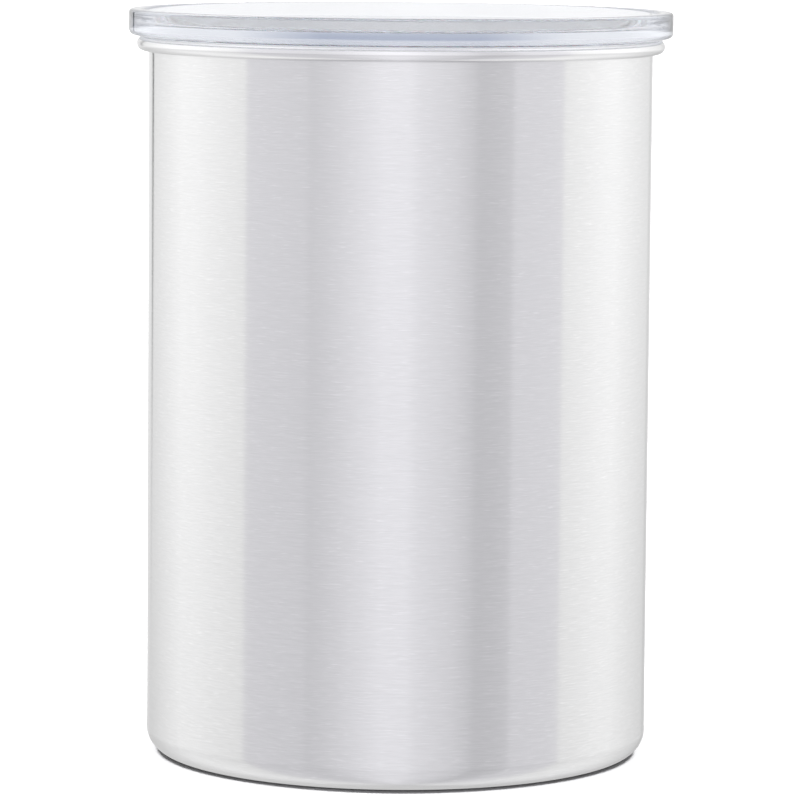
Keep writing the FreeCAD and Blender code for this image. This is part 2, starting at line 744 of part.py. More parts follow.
def make_handle():
    """The fold-down handle: a half ring with a lift tab, on two hinge barrels."""
    body = new_body("handle", deck_height)
    inner = size("handle_inner")
    thick = size("handle_thick")
    ring = new_sketch(body, "half_ring", "XY_Plane", out=pivot_height)
    draw_loop(ring, [
        (-handle_outer, ZERO),
        Bend(ZERO, ZERO, handle_outer),
        (ZERO, -handle_outer),
        Bend(ZERO, ZERO, handle_outer),
        (handle_outer, ZERO),
        (inner, ZERO),
        Bend(ZERO, ZERO, inner, clockwise=True),
        (ZERO, -inner),
        Bend(ZERO, ZERO, inner, clockwise=True),
        (-inner, ZERO),
    ])
    pad(body, "ring", ring, thick, both_ways=True)
    round_rings(body, "ring_rounding", size("handle_round"), [
        (radius, level)
        for radius in (inner, handle_outer)
        for level in (pivot_height - thick / 2, pivot_height + thick / 2)
    ])

    half_tab = size("tab_width") / 2
    tab_front = -handle_outer - size("tab_reach")
    tab_round = size("tab_round")
    tab = new_sketch(body, "tab_outline", "XY_Plane", out=pivot_height)
    draw_loop(tab, [
        (-half_tab, -handle_middle),
        (-half_tab, tab_front + tab_round),
        Bend(tab_round - half_tab, tab_front + tab_round, tab_round),
        (tab_round - half_tab, tab_front),
        (half_tab - tab_round, tab_front),
        Bend(half_tab - tab_round, tab_front + tab_round, tab_round),
        (half_tab, tab_front + tab_round),
        (half_tab, -handle_middle),
    ])
    pad(body, "tab", tab, size("tab_thick"), both_ways=True)

    barrel = size("barrel_dia") / 2
    end_round = size("barrel_round")
    barrels = new_sketch(body, "barrel_sections", "XZ_Plane", up=pivot_height)
    draw_loop(barrels, [
        (barrel_start, ZERO),
        (handle_outer, ZERO),
        (handle_outer, barrel - end_round),
        Bend(handle_outer - end_round, barrel - end_round, end_round),
        (handle_outer - end_round, barrel),
        (barrel_start, barrel),
    ])
    draw_loop(barrels, [
        (-barrel_start, ZERO),
        (-barrel_start, barrel),
        (end_round - handle_outer, barrel),
        Bend(end_round - handle_outer, barrel - end_round, end_round),
        (-handle_outer, barrel - end_round),
        (-handle_outer, ZERO),
    ])
    revolve(body, "barrels", barrels, axis="H_Axis")

    socket = new_sketch(body, "socket_outline", "YZ_Plane", up=pivot_height)
    draw_keyed_hole(socket, socket_radius)
    pocket(body, "sockets", socket, (size("rod_reach") + size("socket_end")) * 2, both_ways=True)
    return body


def make_pivot_rod():
    """The steel rod that the handle turns on, with flats that key the handle and the cam to it."""
    body = new_body("pivot_rod", deck_height)
    section = new_sketch(body, "rod_circle", "YZ_Plane", up=pivot_height)
    draw_circle(section, ZERO, ZERO, rod_radius)
    reach = size("rod_reach")
    pad(body, "rod", section, reach * 2, both_ways=True)
    flat = around(rod_radius, FLAT_ANGLE)[1]
    above = rod_radius + size("overrun")
    flats = new_sketch(body, "flat_outlines", "XZ_Plane", up=pivot_height)
    half_cam = size("cam_width") / 2
    past_end = reach + size("overrun")
    flat_start = turret_outer + size("handle_side_gap") / 2
    for left, right in ((-past_end, -flat_start), (-half_cam, half_cam), (flat_start, past_end)):
        draw_box(flats, left, right, flat, above)
    pocket(body, "flats", flats, above * 2, both_ways=True)
    return body


def make_valve_cam():
    """The eccentric that lifts the yoke as the handle comes up."""
    body = new_body("valve_cam", deck_height)
    section = new_sketch(body, "cam_section", "YZ_Plane", up=pivot_height)
    draw_circle(section, -cam_offset, -cam_offset, cam_radius)
    draw_keyed_hole(section, socket_radius)
    pad(body, "cam", section, size("cam_width"), both_ways=True)
    return body


def make_valve_stem():
    """The valve's stem: a tail through the deck, a head above the disc, and a yoke round the cam."""
    neck = tail_radius - size("clip_groove")
    fit = size("clip_fit")
    body = turned_body("valve_stem", [
        (ZERO, tail_bottom),
        (tail_radius, tail_bottom),
        (tail_radius, clip_bottom - fit),
        (neck, clip_bottom - fit),
        (neck, washer_bottom + fit),
        (tail_radius, washer_bottom + fit),
        (tail_radius, disc_top),
        (head_radius, disc_top),
        (head_radius, head_top),
        (ZERO, head_top),
    ], deck_height)
    window = cam_throw + cam_radius + size("yoke_gap")
    half_yoke = window + size("yoke_wall")
    half_width = size("cam_width") / 2 + size("cam_side")
    yoke = new_sketch(body, "yoke_outline", "XY_Plane", out=head_top)
    draw_box(yoke, -half_width, half_width, -half_yoke, half_yoke)
    pad(body, "yoke", yoke, bar_top - head_top)
    opening = new_sketch(body, "window_outline", "YZ_Plane")
    draw_box(opening, -window, window, head_top, bar_bottom)
    pocket(body, "window", opening, (half_width + size("overrun")) * 2, both_ways=True)
    return body


def make_valve_disc():
    """The silicone disc that closes the vents."""
    inner = tail_radius + size("disc_fit")
    return turned_body("valve_disc", [
        (inner, disc_bottom),
        (disc_radius, disc_bottom),
        (disc_radius, disc_bottom + size("disc_edge")),
        (head_radius, disc_top),
        (inner, disc_top),
    ], deck_height)


def make_spring_washer():
    """The washer that the spring stands on."""
    inner = tail_radius + size("disc_fit")
    outer = spring_outer + size("washer_rim")
    return turned_body("spring_washer", [
        (inner, washer_bottom),
        (outer, washer_bottom),
        (outer, washer_top),
        (inner, washer_top),
    ], deck_height)


def make_spring_clip():
    """The open clip in the tail's groove, which carries the washer."""
    body = new_body("spring_clip", deck_height)
    inner = tail_radius - size("clip_groove") + size("clip_fit")
    outer = inner + size("clip_width")
    outline = new_sketch(body, "clip_outline", "XY_Plane", out=clip_bottom)
    draw_loop(outline, [
        around(outer, CLIP_MOUTH_ANGLE),
        Bend(ZERO, ZERO, outer),
        around(outer, -CLIP_MOUTH_ANGLE),
        around(inner, -CLIP_MOUTH_ANGLE),
        Bend(ZERO, ZERO, inner, clockwise=True),
        around(inner, CLIP_MOUTH_ANGLE),
    ])
    pad(body, "clip", outline, size("clip_thick"))
    return body


def spring_point(share, radius, bottom, rise):
    """A point of the spring's middle line, at a share of its length, and the direction there."""
    turn = 2.0 * math.pi * SPRING_TURNS * share
    point = FreeCAD.Vector(radius * math.cos(turn), radius * math.sin(turn), bottom + rise * share)
    climb = rise / (2.0 * math.pi * SPRING_TURNS)
    direction = FreeCAD.Vector(-radius * math.sin(turn), radius * math.cos(turn), climb)
    return point, direction.normalize()


def arc_edge(start, direction, end, control):
    """The arc from start, in this direction, to end, where control is the corner of its two tangents."""
    middle = (start + end) / 2
    half_turn = direction.getAngle(end - start)
    crown = middle + (control - middle) * (math.tan(half_turn / 2) / math.tan(half_turn))
    return Part.Arc(start, crown, end).toShape()


def biarc_edges(start, start_way, end, end_way):
    """Two arcs that meet smoothly, from start to end along the given directions."""
    gap = end - start
    ways = start_way + end_way
    spread = 2.0 * (1.0 - start_way.dot(end_way))
    reach = (math.sqrt(gap.dot(ways) ** 2 + spread * gap.dot(gap)) - gap.dot(ways)) / spread
    control = start + start_way * reach
    last_control = end - end_way * reach
    joint = (control + last_control) / 2
    joint_way = (last_control - control).normalize()
    return [arc_edge(start, start_way, joint, control), arc_edge(joint, joint_way, end, last_control)]


def make_valve_spring():
    """The coil spring round the stem guide, one unbroken wire."""
    wire = size("wire_dia").value
    fit = size("spring_fit").value
    radius = spring_radius.value
    bottom = washer_top.value + wire / 2 + fit
    rise = deck_bottom.value - wire / 2 - fit - bottom
    spans = SPRING_TURNS * BIARCS_PER_TURN
    spots = [spring_point(number / spans, radius, bottom, rise) for number in range(spans + 1)]
    edges = []
    for (start, start_way), (end, end_way) in zip(spots, spots[1:]):
        edges += biarc_edges(start, start_way, end, end_way)
    path = Part.Wire(edges)
    section = Part.Wire(Part.Circle(spots[0][0], spots[0][1], wire / 2).toShape())
    tube = Part.BRepOffsetAPI.MakePipeShell(path)
    tube.add(section)
    tube.build()
    tube.makeSolid()
    feature = doc.addObject("Part::Feature", "valve_spring")
    feature.Label = "valve_spring"
    feature.Shape = tube.shape()
    feature.Placement = FreeCAD.Placement(FreeCAD.Vector(0, 0, deck_height.value), FreeCAD.Rotation())
    samples = SPRING_TURNS * SPRING_SAMPLES_PER_TURN
    points = [spring_point(number / samples, radius, bottom, rise)[0] for number in range(samples + 1)]
    half_turn = SPRING_SAMPLES_PER_TURN // 2
    least = min(
        points[first].distanceToPoint(points[second])
        for first in range(len(points))
        for second in range(first + half_turn, len(points))
    )
    print(f"valve_spring: least gap to itself {least - wire:.2f} mm")
    return feature


def check_and_write(pieces):
    """Makes sure that every object is sound, then writes each piece's file."""
    doc.recompute()
    for item in doc.Objects:
        if any(state in ("Invalid", "Error") for state in item.State):
            raise ValueError(f"{item.Name} is {item.State}")
    for piece in pieces:
        if piece.Shape.isNull() or not piece.Shape.isValid():
            raise ValueError(f"{piece.Label} has no valid shape")
    os.makedirs("parts", exist_ok=True)
    for piece in pieces:
        piece.Shape.exportStep(f"parts/{piece.Label}.step")


check_and_write([
    make_can_shell(),
    make_lid_cover(),
    make_lid_seal(),
    make_plunger_body(),
    make_plunger_seal(),
    make_turret_cap(),
    make_cap_screws(),
    make_strainer(),
    make_handle(),
    make_pivot_rod(),
    make_valve_cam(),
    make_valve_stem(),
    make_valve_disc(),
    make_valve_spring(),
    make_spring_washer(),
    make_spring_clip(),
])
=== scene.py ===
"""Dresses the coffee canister: steel can, clear outer lid, and the inner lid with its handle and valve."""

import json
import math
from typing import NamedTuple

import bmesh
import bpy
from bpy.props import FloatProperty, FloatVectorProperty, PointerProperty
from mathutils import Matrix, Vector


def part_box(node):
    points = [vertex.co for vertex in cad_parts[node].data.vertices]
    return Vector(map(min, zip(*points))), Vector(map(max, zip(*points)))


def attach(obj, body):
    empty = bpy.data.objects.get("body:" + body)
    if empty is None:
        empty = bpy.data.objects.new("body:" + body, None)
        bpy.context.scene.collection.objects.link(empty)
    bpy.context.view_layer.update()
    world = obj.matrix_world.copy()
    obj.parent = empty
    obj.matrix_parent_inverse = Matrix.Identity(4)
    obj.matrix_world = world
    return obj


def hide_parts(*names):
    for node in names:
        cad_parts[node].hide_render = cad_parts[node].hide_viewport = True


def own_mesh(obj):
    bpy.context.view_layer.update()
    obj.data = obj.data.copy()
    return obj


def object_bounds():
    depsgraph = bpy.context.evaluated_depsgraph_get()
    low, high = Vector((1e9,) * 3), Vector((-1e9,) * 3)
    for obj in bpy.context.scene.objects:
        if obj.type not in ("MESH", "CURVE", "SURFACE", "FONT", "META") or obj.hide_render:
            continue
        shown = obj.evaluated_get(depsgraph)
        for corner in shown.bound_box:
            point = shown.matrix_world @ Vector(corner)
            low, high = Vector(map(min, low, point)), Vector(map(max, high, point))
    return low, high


bl_info = {
    "name": "Coffee canister",
    "version": (1, 0, 0),
    "blender": (4, 5, 0),
    "location": "3D View > Sidebar > Canister",
    "description": "Models the looks of a steel coffee canister round its packed frame",
    "category": "Object",
}

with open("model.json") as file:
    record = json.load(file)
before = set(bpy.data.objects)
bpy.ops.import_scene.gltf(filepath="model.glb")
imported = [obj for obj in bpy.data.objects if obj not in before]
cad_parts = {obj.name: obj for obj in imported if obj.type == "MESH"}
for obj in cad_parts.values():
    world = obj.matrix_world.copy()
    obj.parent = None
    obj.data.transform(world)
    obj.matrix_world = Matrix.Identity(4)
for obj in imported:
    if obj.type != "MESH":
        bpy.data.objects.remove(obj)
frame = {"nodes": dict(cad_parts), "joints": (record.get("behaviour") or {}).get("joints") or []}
CAD_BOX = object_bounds()

# Lowest and highest corners of the pieces that others are fitted to, and the handle's hinge.
CAN_LOW, CAN_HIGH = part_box("can_shell")
LID_LOW, LID_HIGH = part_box("lid_cover")
LID_SEAL_LOW, LID_SEAL_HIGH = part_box("lid_seal")
DISH_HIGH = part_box("plunger_body")[1]
WIPER_LOW, WIPER_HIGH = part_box("plunger_seal")
COVER_LOW, COVER_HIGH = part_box("turret_cap")
SCREWS_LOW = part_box("cap_screws")[0]
HANDLE_LOW, HANDLE_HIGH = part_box("handle")
ROD_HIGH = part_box("pivot_rod")[1]
SPRING_LOW, SPRING_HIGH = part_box("valve_spring")
HINGE = Vector(next(joint["pos_m"] for joint in frame["joints"] if joint["name"] == "handle_flip"))

# How finely round shapes are cut, and how close two points are to count as one.
TURN_STEPS = 192
ARC_STEP = 6.0
ROUND_STEPS = 6
ROD_SIDES = 48
WIRE_SIDES = 16
SMOOTH_ANGLE = math.radians(32.0)
MERGE_REACH = 1e-6

UP = Vector((0.0, 0.0, 1.0))
WHITE = (1.0, 1.0, 1.0)


def length(name, default, description):
    """A size in metres that a user can change."""
    return FloatProperty(name=name, description=description, default=default, min=0.0,
                         precision=5, subtype="DISTANCE", unit="LENGTH")


def angle(name, degrees, description):
    """An angle that a user can change."""
    return FloatProperty(name=name, description=description, default=math.radians(degrees),
                         precision=4, subtype="ANGLE", unit="ROTATION")


def colour(name, default, description):
    """A colour that a user can change."""
    return FloatVectorProperty(name=name, description=description, default=default, size=3,
                               min=0.0, max=1.0, subtype="COLOR")


def level(name, default, description):
    """A strength or share that a user can change."""
    return FloatProperty(name=name, description=description, default=default, min=0.0)


class CanSizes(bpy.types.PropertyGroup):
    """Sizes of the steel can."""

    sheet: length("Sheet", 0.0006, "Thickness of the steel sheet")
    corner_radius: length("Corner radius", 0.0059, "Outside radius between wall and base")
    foot_width: length("Foot width", 0.006, "Width of the ring that the can stands on")
    base_rise: length("Base rise", 0.0016, "Height of the stamped base panel above the foot")
    base_ramp: length("Base ramp", 0.0025, "Width of the slope from foot to base panel")
    base_round: length("Base round", 0.0008, "Rounding of the stamped base")
    curl_radius: length("Curl radius", 0.0018, "Outside radius of the rolled rim")
    curl_sweep: angle("Curl sweep", 295.0, "How far round the sheet is rolled at the rim")
    curl_round: length("Curl round", 0.0002, "Rounding of the rolled rim's cut edge")


class LidSizes(bpy.types.PropertyGroup):
    """Sizes of the clear outer lid and its seal."""

    plug_depth: length("Plug depth", 0.0095, "Depth of the plug ring below the lid's seat")
    plug_wall: length("Plug wall", 0.0023, "Thickness of the plug ring")
    plug_gap: length("Plug gap", 0.0012, "Gap between plug ring and can")
    rim_width: length("Rim width", 0.0036, "Width of the raised rim")
    recess: length("Recess", 0.0036, "Depth of the panel below the raised rim")
    draft: length("Draft", 0.0006, "Lean of the raised rim's inner side")
    panel: length("Panel", 0.0022, "Thickness of the panel")
    top_round: length("Top round", 0.0009, "Rounding of the raised rim")
    seat_round: length("Seat round", 0.0014, "Rounding of the lower outside edge")
    plug_round: length("Plug round", 0.0005, "Rounding of the plug ring's lower edges")
    edge_round: length("Edge round", 0.0002, "Rounding of the groove and inside corners")
    groove_drop: length("Groove drop", 0.003, "Seal groove's distance below the seat")
    groove_height: length("Groove height", 0.0036, "Height of the seal groove")
    groove_depth: length("Groove depth", 0.001, "Depth of the seal groove")
    seal_fit: length("Seal fit", 0.00005, "Clearance of a seal in its groove")
    seal_tip: level("Seal tip", 0.3, "Height of the seal's tip as a share of its height")
    seal_round: length("Seal round", 0.0003, "Rounding of the seal's edges")


class InnerLidSizes(bpy.types.PropertyGroup):
    """Sizes of the inner lid, its valve turret and its wiper seal."""

    dish_rise: length("Dish rise", 0.016, "Height of the dish wall above the deck")
    dish_wall: length("Dish wall", 0.0018, "Thickness of the dish wall")
    deck: length("Deck", 0.0022, "Thickness of the deck")
    foot_round: length("Foot round", 0.003, "Rounding between deck and dish wall")
    lip_reach: length("Lip reach", 0.0014, "Reach of the lip round the dish wall")
    lip_thick: length("Lip thickness", 0.0016, "Thickness of the lip round the dish wall")
    flange_thick: length("Flange thickness", 0.0016, "Thickness of a seal flange")
    edge_round: length("Edge round", 0.0005, "Rounding of the thin edges")
    wiper_depth: length("Wiper depth", 0.0028, "Depth of the wiper seal's groove")
    wiper_height: length("Wiper height", 0.0046, "Height of the wiper seal's groove")
    wiper_band: length("Wiper band", 0.0013, "Thickness of the wiper seal's band")
    wiper_round: length("Wiper round", 0.00018, "Rounding of the wiper's lips")
    guide_bore: length("Guide bore", 0.00158, "Radius of the stem's bearing")
    guide_wall: length("Guide wall", 0.0016, "Wall of the stem's bearing")
    guide_drop: length("Guide drop", 0.0022, "Length of the stem's bearing below the deck")
    spigot_inner: length("Spigot inner radius", 0.01058, "Inside radius of the strainer's spigot")
    spigot_wall: length("Spigot wall", 0.0014, "Wall of the strainer's spigot")
    spigot_drop: length("Spigot drop", 0.0024, "Height of the strainer's spigot")
    seat_inner: length("Seat inner radius", 0.00758, "Inside radius of the valve seat")
    seat_width: length("Seat width", 0.0012, "Width of the valve seat")
    seat_height: length("Seat height", 0.0007, "Height of the valve seat")
    turret_wall: length("Turret wall", 0.0018, "Thickness of the turret's wall")
    turret_round: length("Turret round", 0.001, "Rounding at the turret's foot")
    vent_circle: length("Vent circle", 0.00598, "Distance of the vents from the axis")
    vent_radius: length("Vent radius", 0.0012, "Radius of a vent")
    boss_circle: length("Boss circle", 0.01218, "Distance of the screws from the axis")
    boss_radius: length("Boss radius", 0.0022, "Radius of a screw boss")
    boss_drop: length("Boss drop", 0.00002, "How far a screw boss ends below the turret's top")
    pilot_radius: length("Pilot radius", 0.00105, "Radius of a screw's hole")
    pilot_depth: length("Pilot depth", 0.008, "Depth of a screw's hole")
    rest_radius: length("Rest radius", 0.003, "Radius of a handle rest")
    rest_gap: length("Rest gap", 0.0003, "Gap between the folded handle and its rests")
    rest_angle: angle("Rest angle", 27.0, "Angle of a handle rest from the front")
    bearing_radius: length("Bearing radius", 0.00158, "Radius of the hinge rod's bearings")
    cover_thick: length("Cover thickness", 0.002, "Thickness of the turret's cover")
    cover_round: length("Cover round", 0.0008, "Rounding of the cover's edge")
    slot_inner: length("Slot start", 0.0032, "Distance of the cover's slots from the axis")
    slot_outer: length("Slot end", 0.009, "Reach of the cover's slots from the axis")
    slot_width: length("Slot width", 0.0018, "Width of the cover's slots")
    sink_radius: length("Sink radius", 0.0022, "Radius of a screw head's sink")
    tongue_gap: length("Tongue gap", 0.00025, "Clearance of the cover's tongues")
    head_radius: length("Head radius", 0.002, "Radius of a screw's head")
    head_height: length("Head height", 0.0012, "Height of a screw's head")
    head_round: length("Head round", 0.0004, "Rounding of a screw's head")
    shank_radius: length("Shank radius", 0.001, "Radius of a screw's shank")
    drive_length: length("Drive length", 0.0024, "Length of a screw's cross slot")
    drive_width: length("Drive width", 0.0006, "Width of a screw's cross slot")
    drive_depth: length("Drive depth", 0.0006, "Depth of a screw's cross slot")


class HandleSizes(bpy.types.PropertyGroup):
    """Sizes of the fold-down handle and the valve's spring."""

    band: length("Band", 0.01, "Width of the half ring")
    thick: length("Thickness", 0.005, "Thickness of the half ring")
    ring_round: length("Ring round", 0.0018, "Rounding of the half ring")
    barrel_radius: length("Barrel radius", 0.0046, "Radius of the hinge barrels")
    barrel_round: length("Barrel round", 0.0022, "Rounding of the barrels' outer ends")
    barrel_edge: length("Barrel edge", 0.0004, "Rounding of the barrels' inner ends")
    barrel_gap: length("Barrel gap", 0.0006, "Gap between turret and barrels")
    socket_radius: length("Socket radius", 0.00155, "Radius of the hinge rod's socket")
    socket_end: length("Socket end", 0.0005, "Room beyond the rod's end in its socket")
    tab_width: length("Tab width", 0.024, "Width of the lift tab")
    tab_thick: length("Tab thickness", 0.003, "Thickness of the lift tab")
    tab_round: length("Tab round", 0.003, "Rounding of the lift tab's corners")
    tab_edge: length("Tab edge", 0.0006, "Rounding of the lift tab's edges")
    wire_radius: length("Wire radius", 0.0003, "Radius of the spring wire")
    spring_turns: level("Spring turns", 4.0, "Turns of the valve's spring")
    spring_keep: level("Spring keep", 0.692, "Share of the spring's length when the valve is lifted")


class Finishes(bpy.types.PropertyGroup):
    """Colours of the materials."""

    steel: colour("Steel", (0.80, 0.80, 0.803), "Colour of the brushed steel")
    bright_steel: colour("Bright steel", (0.86, 0.86, 0.865), "Colour of the rim and the small steel parts")
    clear: colour("Clear plastic", (0.965, 0.973, 0.992), "Tint of the clear outer lid")
    clear_depth: colour("Clear depth", (0.3, 0.38, 0.54), "Tint that thick clear plastic takes on")
    silicone: colour("Silicone", (0.78, 0.79, 0.80), "Colour of the seals and the valve's disc")
    inner_lid: colour("Inner lid", (0.31, 0.315, 0.325), "Colour of the inner lid and strainer")
    grey: colour("Grey plastic", (0.055, 0.058, 0.064), "Colour of the handle and the turret's cover")
    valve: colour("Valve plastic", (0.72, 0.72, 0.69), "Colour of the cam and the stem")
    floor: colour("Floor", (0.93, 0.93, 0.935), "Colour of the floor")


class StudioSizes(bpy.types.PropertyGroup):
    """Places of the camera and the lights."""

    camera_distance: length("Camera distance", 1.2436, "Camera's distance in front of the can's axis")
    camera_height: length("Camera height", 0.2256, "Camera's height above the floor")
    camera_pitch: angle("Camera pitch", 6.280, "How far the camera looks down")
    camera_yaw: angle("Camera yaw", 0.0216, "How far the camera looks to the right")
    camera_roll: angle("Camera roll", 0.478, "How far the camera is tipped to the left")
    camera_lens: level("Camera lens", 223.46, "Focal length in millimetres on a 36 mm wide picture")
    floor_size: length("Floor size", 40.0, "Width of the floor")
    wall_light: level("Wall light", 1.095, "Brightness of the studio's walls")
    fill_light: level("Fill light", 0.35, "Share of the walls' light that falls on matt surfaces")
    lid_light: level("Lid light", 3.0, "Strength of the light from above through the clear lid")
    top_light: level("Top light", 3.2, "Brightness of each of the two soft lights above")
    top_spread: angle("Top spread", 14.0, "How wide a soft light above is")
    top_lean: angle("Top lean", 30.0, "How far to the left or right of straight above a soft light is")


class CanisterSettings(bpy.types.PropertyGroup):
    """All the canister's sizes and colours."""

    can: PointerProperty(type=CanSizes)
    lid: PointerProperty(type=LidSizes)
    inner: PointerProperty(type=InnerLidSizes)
    handle: PointerProperty(type=HandleSizes)
    finishes: PointerProperty(type=Finishes)
    studio: PointerProperty(type=StudioSizes)


class Arc(NamedTuple):
    """A step of an outline: a turn about a centre, anticlockwise as seen from the front."""

    across: float
    up: float
    degrees: float


def start_clean():
    """Leaves edit mode and deselects everything."""
    active = bpy.context.view_layer.objects.active
    if active is not None and active.mode != "OBJECT":
        bpy.ops.object.mode_set(mode="OBJECT")
    bpy.ops.object.select_all(action="DESELECT")


def take_up(piece):
    """Selects one piece and makes it the active one."""
    start_clean()
    bpy.context.view_layer.objects.active = piece
    piece.select_set(True)


def last_point(piece):
    """Where the outline that is being drawn has come to."""
    mesh = bmesh.from_edit_mesh(piece.data)
    return next(point.co.copy() for point in mesh.verts if point.select)


def draw_outline(name, start, steps):
    """Draws an outline in the XZ plane, in edit mode. A step is a point, as across and up, or an Arc."""
    start_clean()
    bpy.ops.mesh.primitive_plane_add(size=MERGE_REACH)
    piece = bpy.context.object
    piece.name = name
    piece.data.name = name
    bpy.ops.object.mode_set(mode="EDIT")
    bpy.ops.mesh.select_mode(type="VERT")
    bpy.ops.mesh.merge(type="CENTER")
    bpy.ops.mesh.select_all(action="SELECT")
    bpy.ops.transform.translate(value=(start[0], 0.0, start[1]))
    for step in steps:
        if isinstance(step, Arc):
            count = math.ceil(abs(step.degrees) / ARC_STEP)
            bpy.ops.mesh.spin(steps=count, angle=math.radians(step.degrees),
                              center=(step.across, 0.0, step.up), axis=(0.0, 1.0, 0.0))
        else:
            move = Vector((step[0], 0.0, step[1])) - last_point(piece)
            bpy.ops.mesh.extrude_region_move(TRANSFORM_OT_translate={"value": move})
    bpy.ops.mesh.select_all(action="SELECT")
    bpy.ops.mesh.remove_doubles(threshold=MERGE_REACH)
    return piece


def round_corners(piece, radius, corners):
    """Rounds the corners of an outline that are nearest to these places."""
    bpy.ops.mesh.select_all(action="DESELECT")
    mesh = bmesh.from_edit_mesh(piece.data)
    for across, up in corners:
        place = Vector((across, 0.0, up))
        nearest = min(mesh.verts, key=lambda point: (point.co - place).length)
        nearest.select_set(True)
    bmesh.update_edit_mesh(piece.data)
    bpy.ops.mesh.bevel(affect="VERTICES", offset=radius, segments=ROUND_STEPS)


def close_up():
    """Merges the mesh's seam and poles, points its faces outwards and leaves edit mode."""
    bpy.ops.mesh.select_all(action="SELECT")
    bpy.ops.mesh.remove_doubles(threshold=MERGE_REACH)
    bpy.ops.mesh.normals_make_consistent(inside=False)
    bpy.ops.object.mode_set(mode="OBJECT")


def turned_piece(name, outline, rounds=(), centre=(0.0, 0.0, 0.0), axis=UP, steps=TURN_STEPS):
    """Turns an outline about an axis, as on a lathe. Rounds are pairs of a radius and its corners."""
    piece = draw_outline(name, outline[0], outline[1:])
    for radius, corners in rounds:
        round_corners(piece, radius, corners)
    bpy.ops.mesh.select_all(action="SELECT")
    bpy.ops.mesh.spin(steps=steps, angle=math.tau, center=centre, axis=axis)
    close_up()
    return piece


def rod(radius, start, end):
    """A round bar from one place to another, for joining to a piece or cutting it."""
    start_clean()
    way = Vector(end) - Vector(start)
    bpy.ops.mesh.primitive_cylinder_add(vertices=ROD_SIDES, radius=radius, depth=way.length,
                                        location=Vector(start) + way / 2,
                                        rotation=way.to_track_quat("Z", "Y").to_euler())
    bpy.ops.object.transform_apply(location=True, rotation=True, scale=True)
    return bpy.context.object


def block(low, high):
    """A square block between two corners, for joining to a piece or cutting it."""
    start_clean()
    low = Vector(low)
    high = Vector(high)
    bpy.ops.mesh.primitive_cube_add(size=1.0, location=(low + high) / 2, scale=high - low)
    bpy.ops.object.transform_apply(location=True, rotation=True, scale=True)
    return bpy.context.object


def combine(piece, tool, operation):
    """Joins a tool to a piece (UNION) or cuts it out of it (DIFFERENCE), and removes the tool."""
    take_up(piece)
    bpy.ops.object.modifier_add(type="BOOLEAN")
    modifier = piece.modifiers[-1]
    modifier.operation = operation
    modifier.solver = "EXACT"
    modifier.object = tool
    bpy.ops.object.modifier_apply(modifier=modifier.name)
    bpy.data.objects.remove(tool)


def around(radius, turn, height):
    """The place at this radius, angle and height about the can's axis."""
    return Vector((radius * math.cos(turn), radius * math.sin(turn), height))


def finish_piece(piece, material, body, slot, *nodes):
    """Smooths and paints a piece, which then rides on a body and stands for its CAD nodes."""
    take_up(piece)
    bpy.ops.object.shade_smooth_by_angle(angle=SMOOTH_ANGLE)
    bpy.ops.object.modifier_add(type="WEIGHTED_NORMAL")
    piece.modifiers[-1].keep_sharp = True
    bpy.ops.object.modifier_apply(modifier=piece.modifiers[-1].name)
    if not piece.data.materials:
        piece.data.materials.append(material)
    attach(piece, body)
    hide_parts(*nodes)


def feed(tree, socket, value):
    """Links a node's input to another node's output, or gives it a plain value."""
    if isinstance(value, bpy.types.NodeSocket):
        tree.links.new(value, socket)
    else:
        socket.default_value = value


def add_node(tree, kind, inputs=None, **settings):
    """Adds a node with its settings, and feeds its inputs by name."""
    made = tree.nodes.new(kind)
    for name, value in settings.items():
        setattr(made, name, value)
    for name, value in (inputs or {}).items():
        feed(tree, made.inputs[name], value)
    return made


def maths(tree, operation, *values, **settings):
    """The result of an operation on one or more values."""
    inputs = dict(enumerate(values))
    return add_node(tree, "ShaderNodeMath", inputs, operation=operation, **settings).outputs[0]


def times(tree, *values):
    """The product of values."""
    product = values[0]
    for value in values[1:]:
        product = maths(tree, "MULTIPLY", product, value)
    return product


def eased(tree, value, start, end, low=0.0, high=1.0, **settings):
    """Goes from low to high while a value goes from start to end, and no further beyond them."""
    return add_node(tree, "ShaderNodeMapRange", {
        "Value": value, "From Min": start, "From Max": end, "To Min": low, "To Max": high,
    }, **settings).outputs[0]


def spread(tree, value, low, high):
    """A value from 0 to 1 spread over this range."""
    return eased(tree, value, 0.0, 1.0, low, high)


def shaded(base, share):
    """A colour made lighter or darker by a share."""
    return tuple(min(1.0, part * share) for part in base)


def coloured(tree, value, stops):
    """The colour of a ramp at a value. Each stop is a position and a colour."""
    ramp = add_node(tree, "ShaderNodeValToRGB", {"Fac": value})
    elements = ramp.color_ramp.elements
    while len(elements) < len(stops):
        elements.new(1.0)
    for element, (position, shade) in zip(elements, stops):
        element.position = position
        element.color = (*shade, 1.0)
    return ramp.outputs["Color"]


def toned(tree, value, base, share):
    """A colour that a value from 0 to 1 makes darker and lighter by a share."""
    return coloured(tree, value, ((0.0, shaded(base, 1.0 - share)), (1.0, shaded(base, 1.0 + share))))


def bump(tree, height, depth):
    """A normal that follows a height, whose full depth is in metres."""
    inputs = {"Height": height, "Strength": 1.0, "Distance": depth}
    return add_node(tree, "ShaderNodeBump", inputs).outputs[0]


def new_group(name, inputs, outputs):
    """An empty shader group with these sockets, and its input and output nodes."""
    group = bpy.data.node_groups.new(name, "ShaderNodeTree")
    for socket, kind in inputs:
        group.interface.new_socket(name=socket, in_out="INPUT", socket_type=kind)
    for socket in outputs:
        group.interface.new_socket(name=socket, in_out="OUTPUT", socket_type="NodeSocketFloat")
    return group, group.nodes.new("NodeGroupInput").outputs, group.nodes.new("NodeGroupOutput").inputs


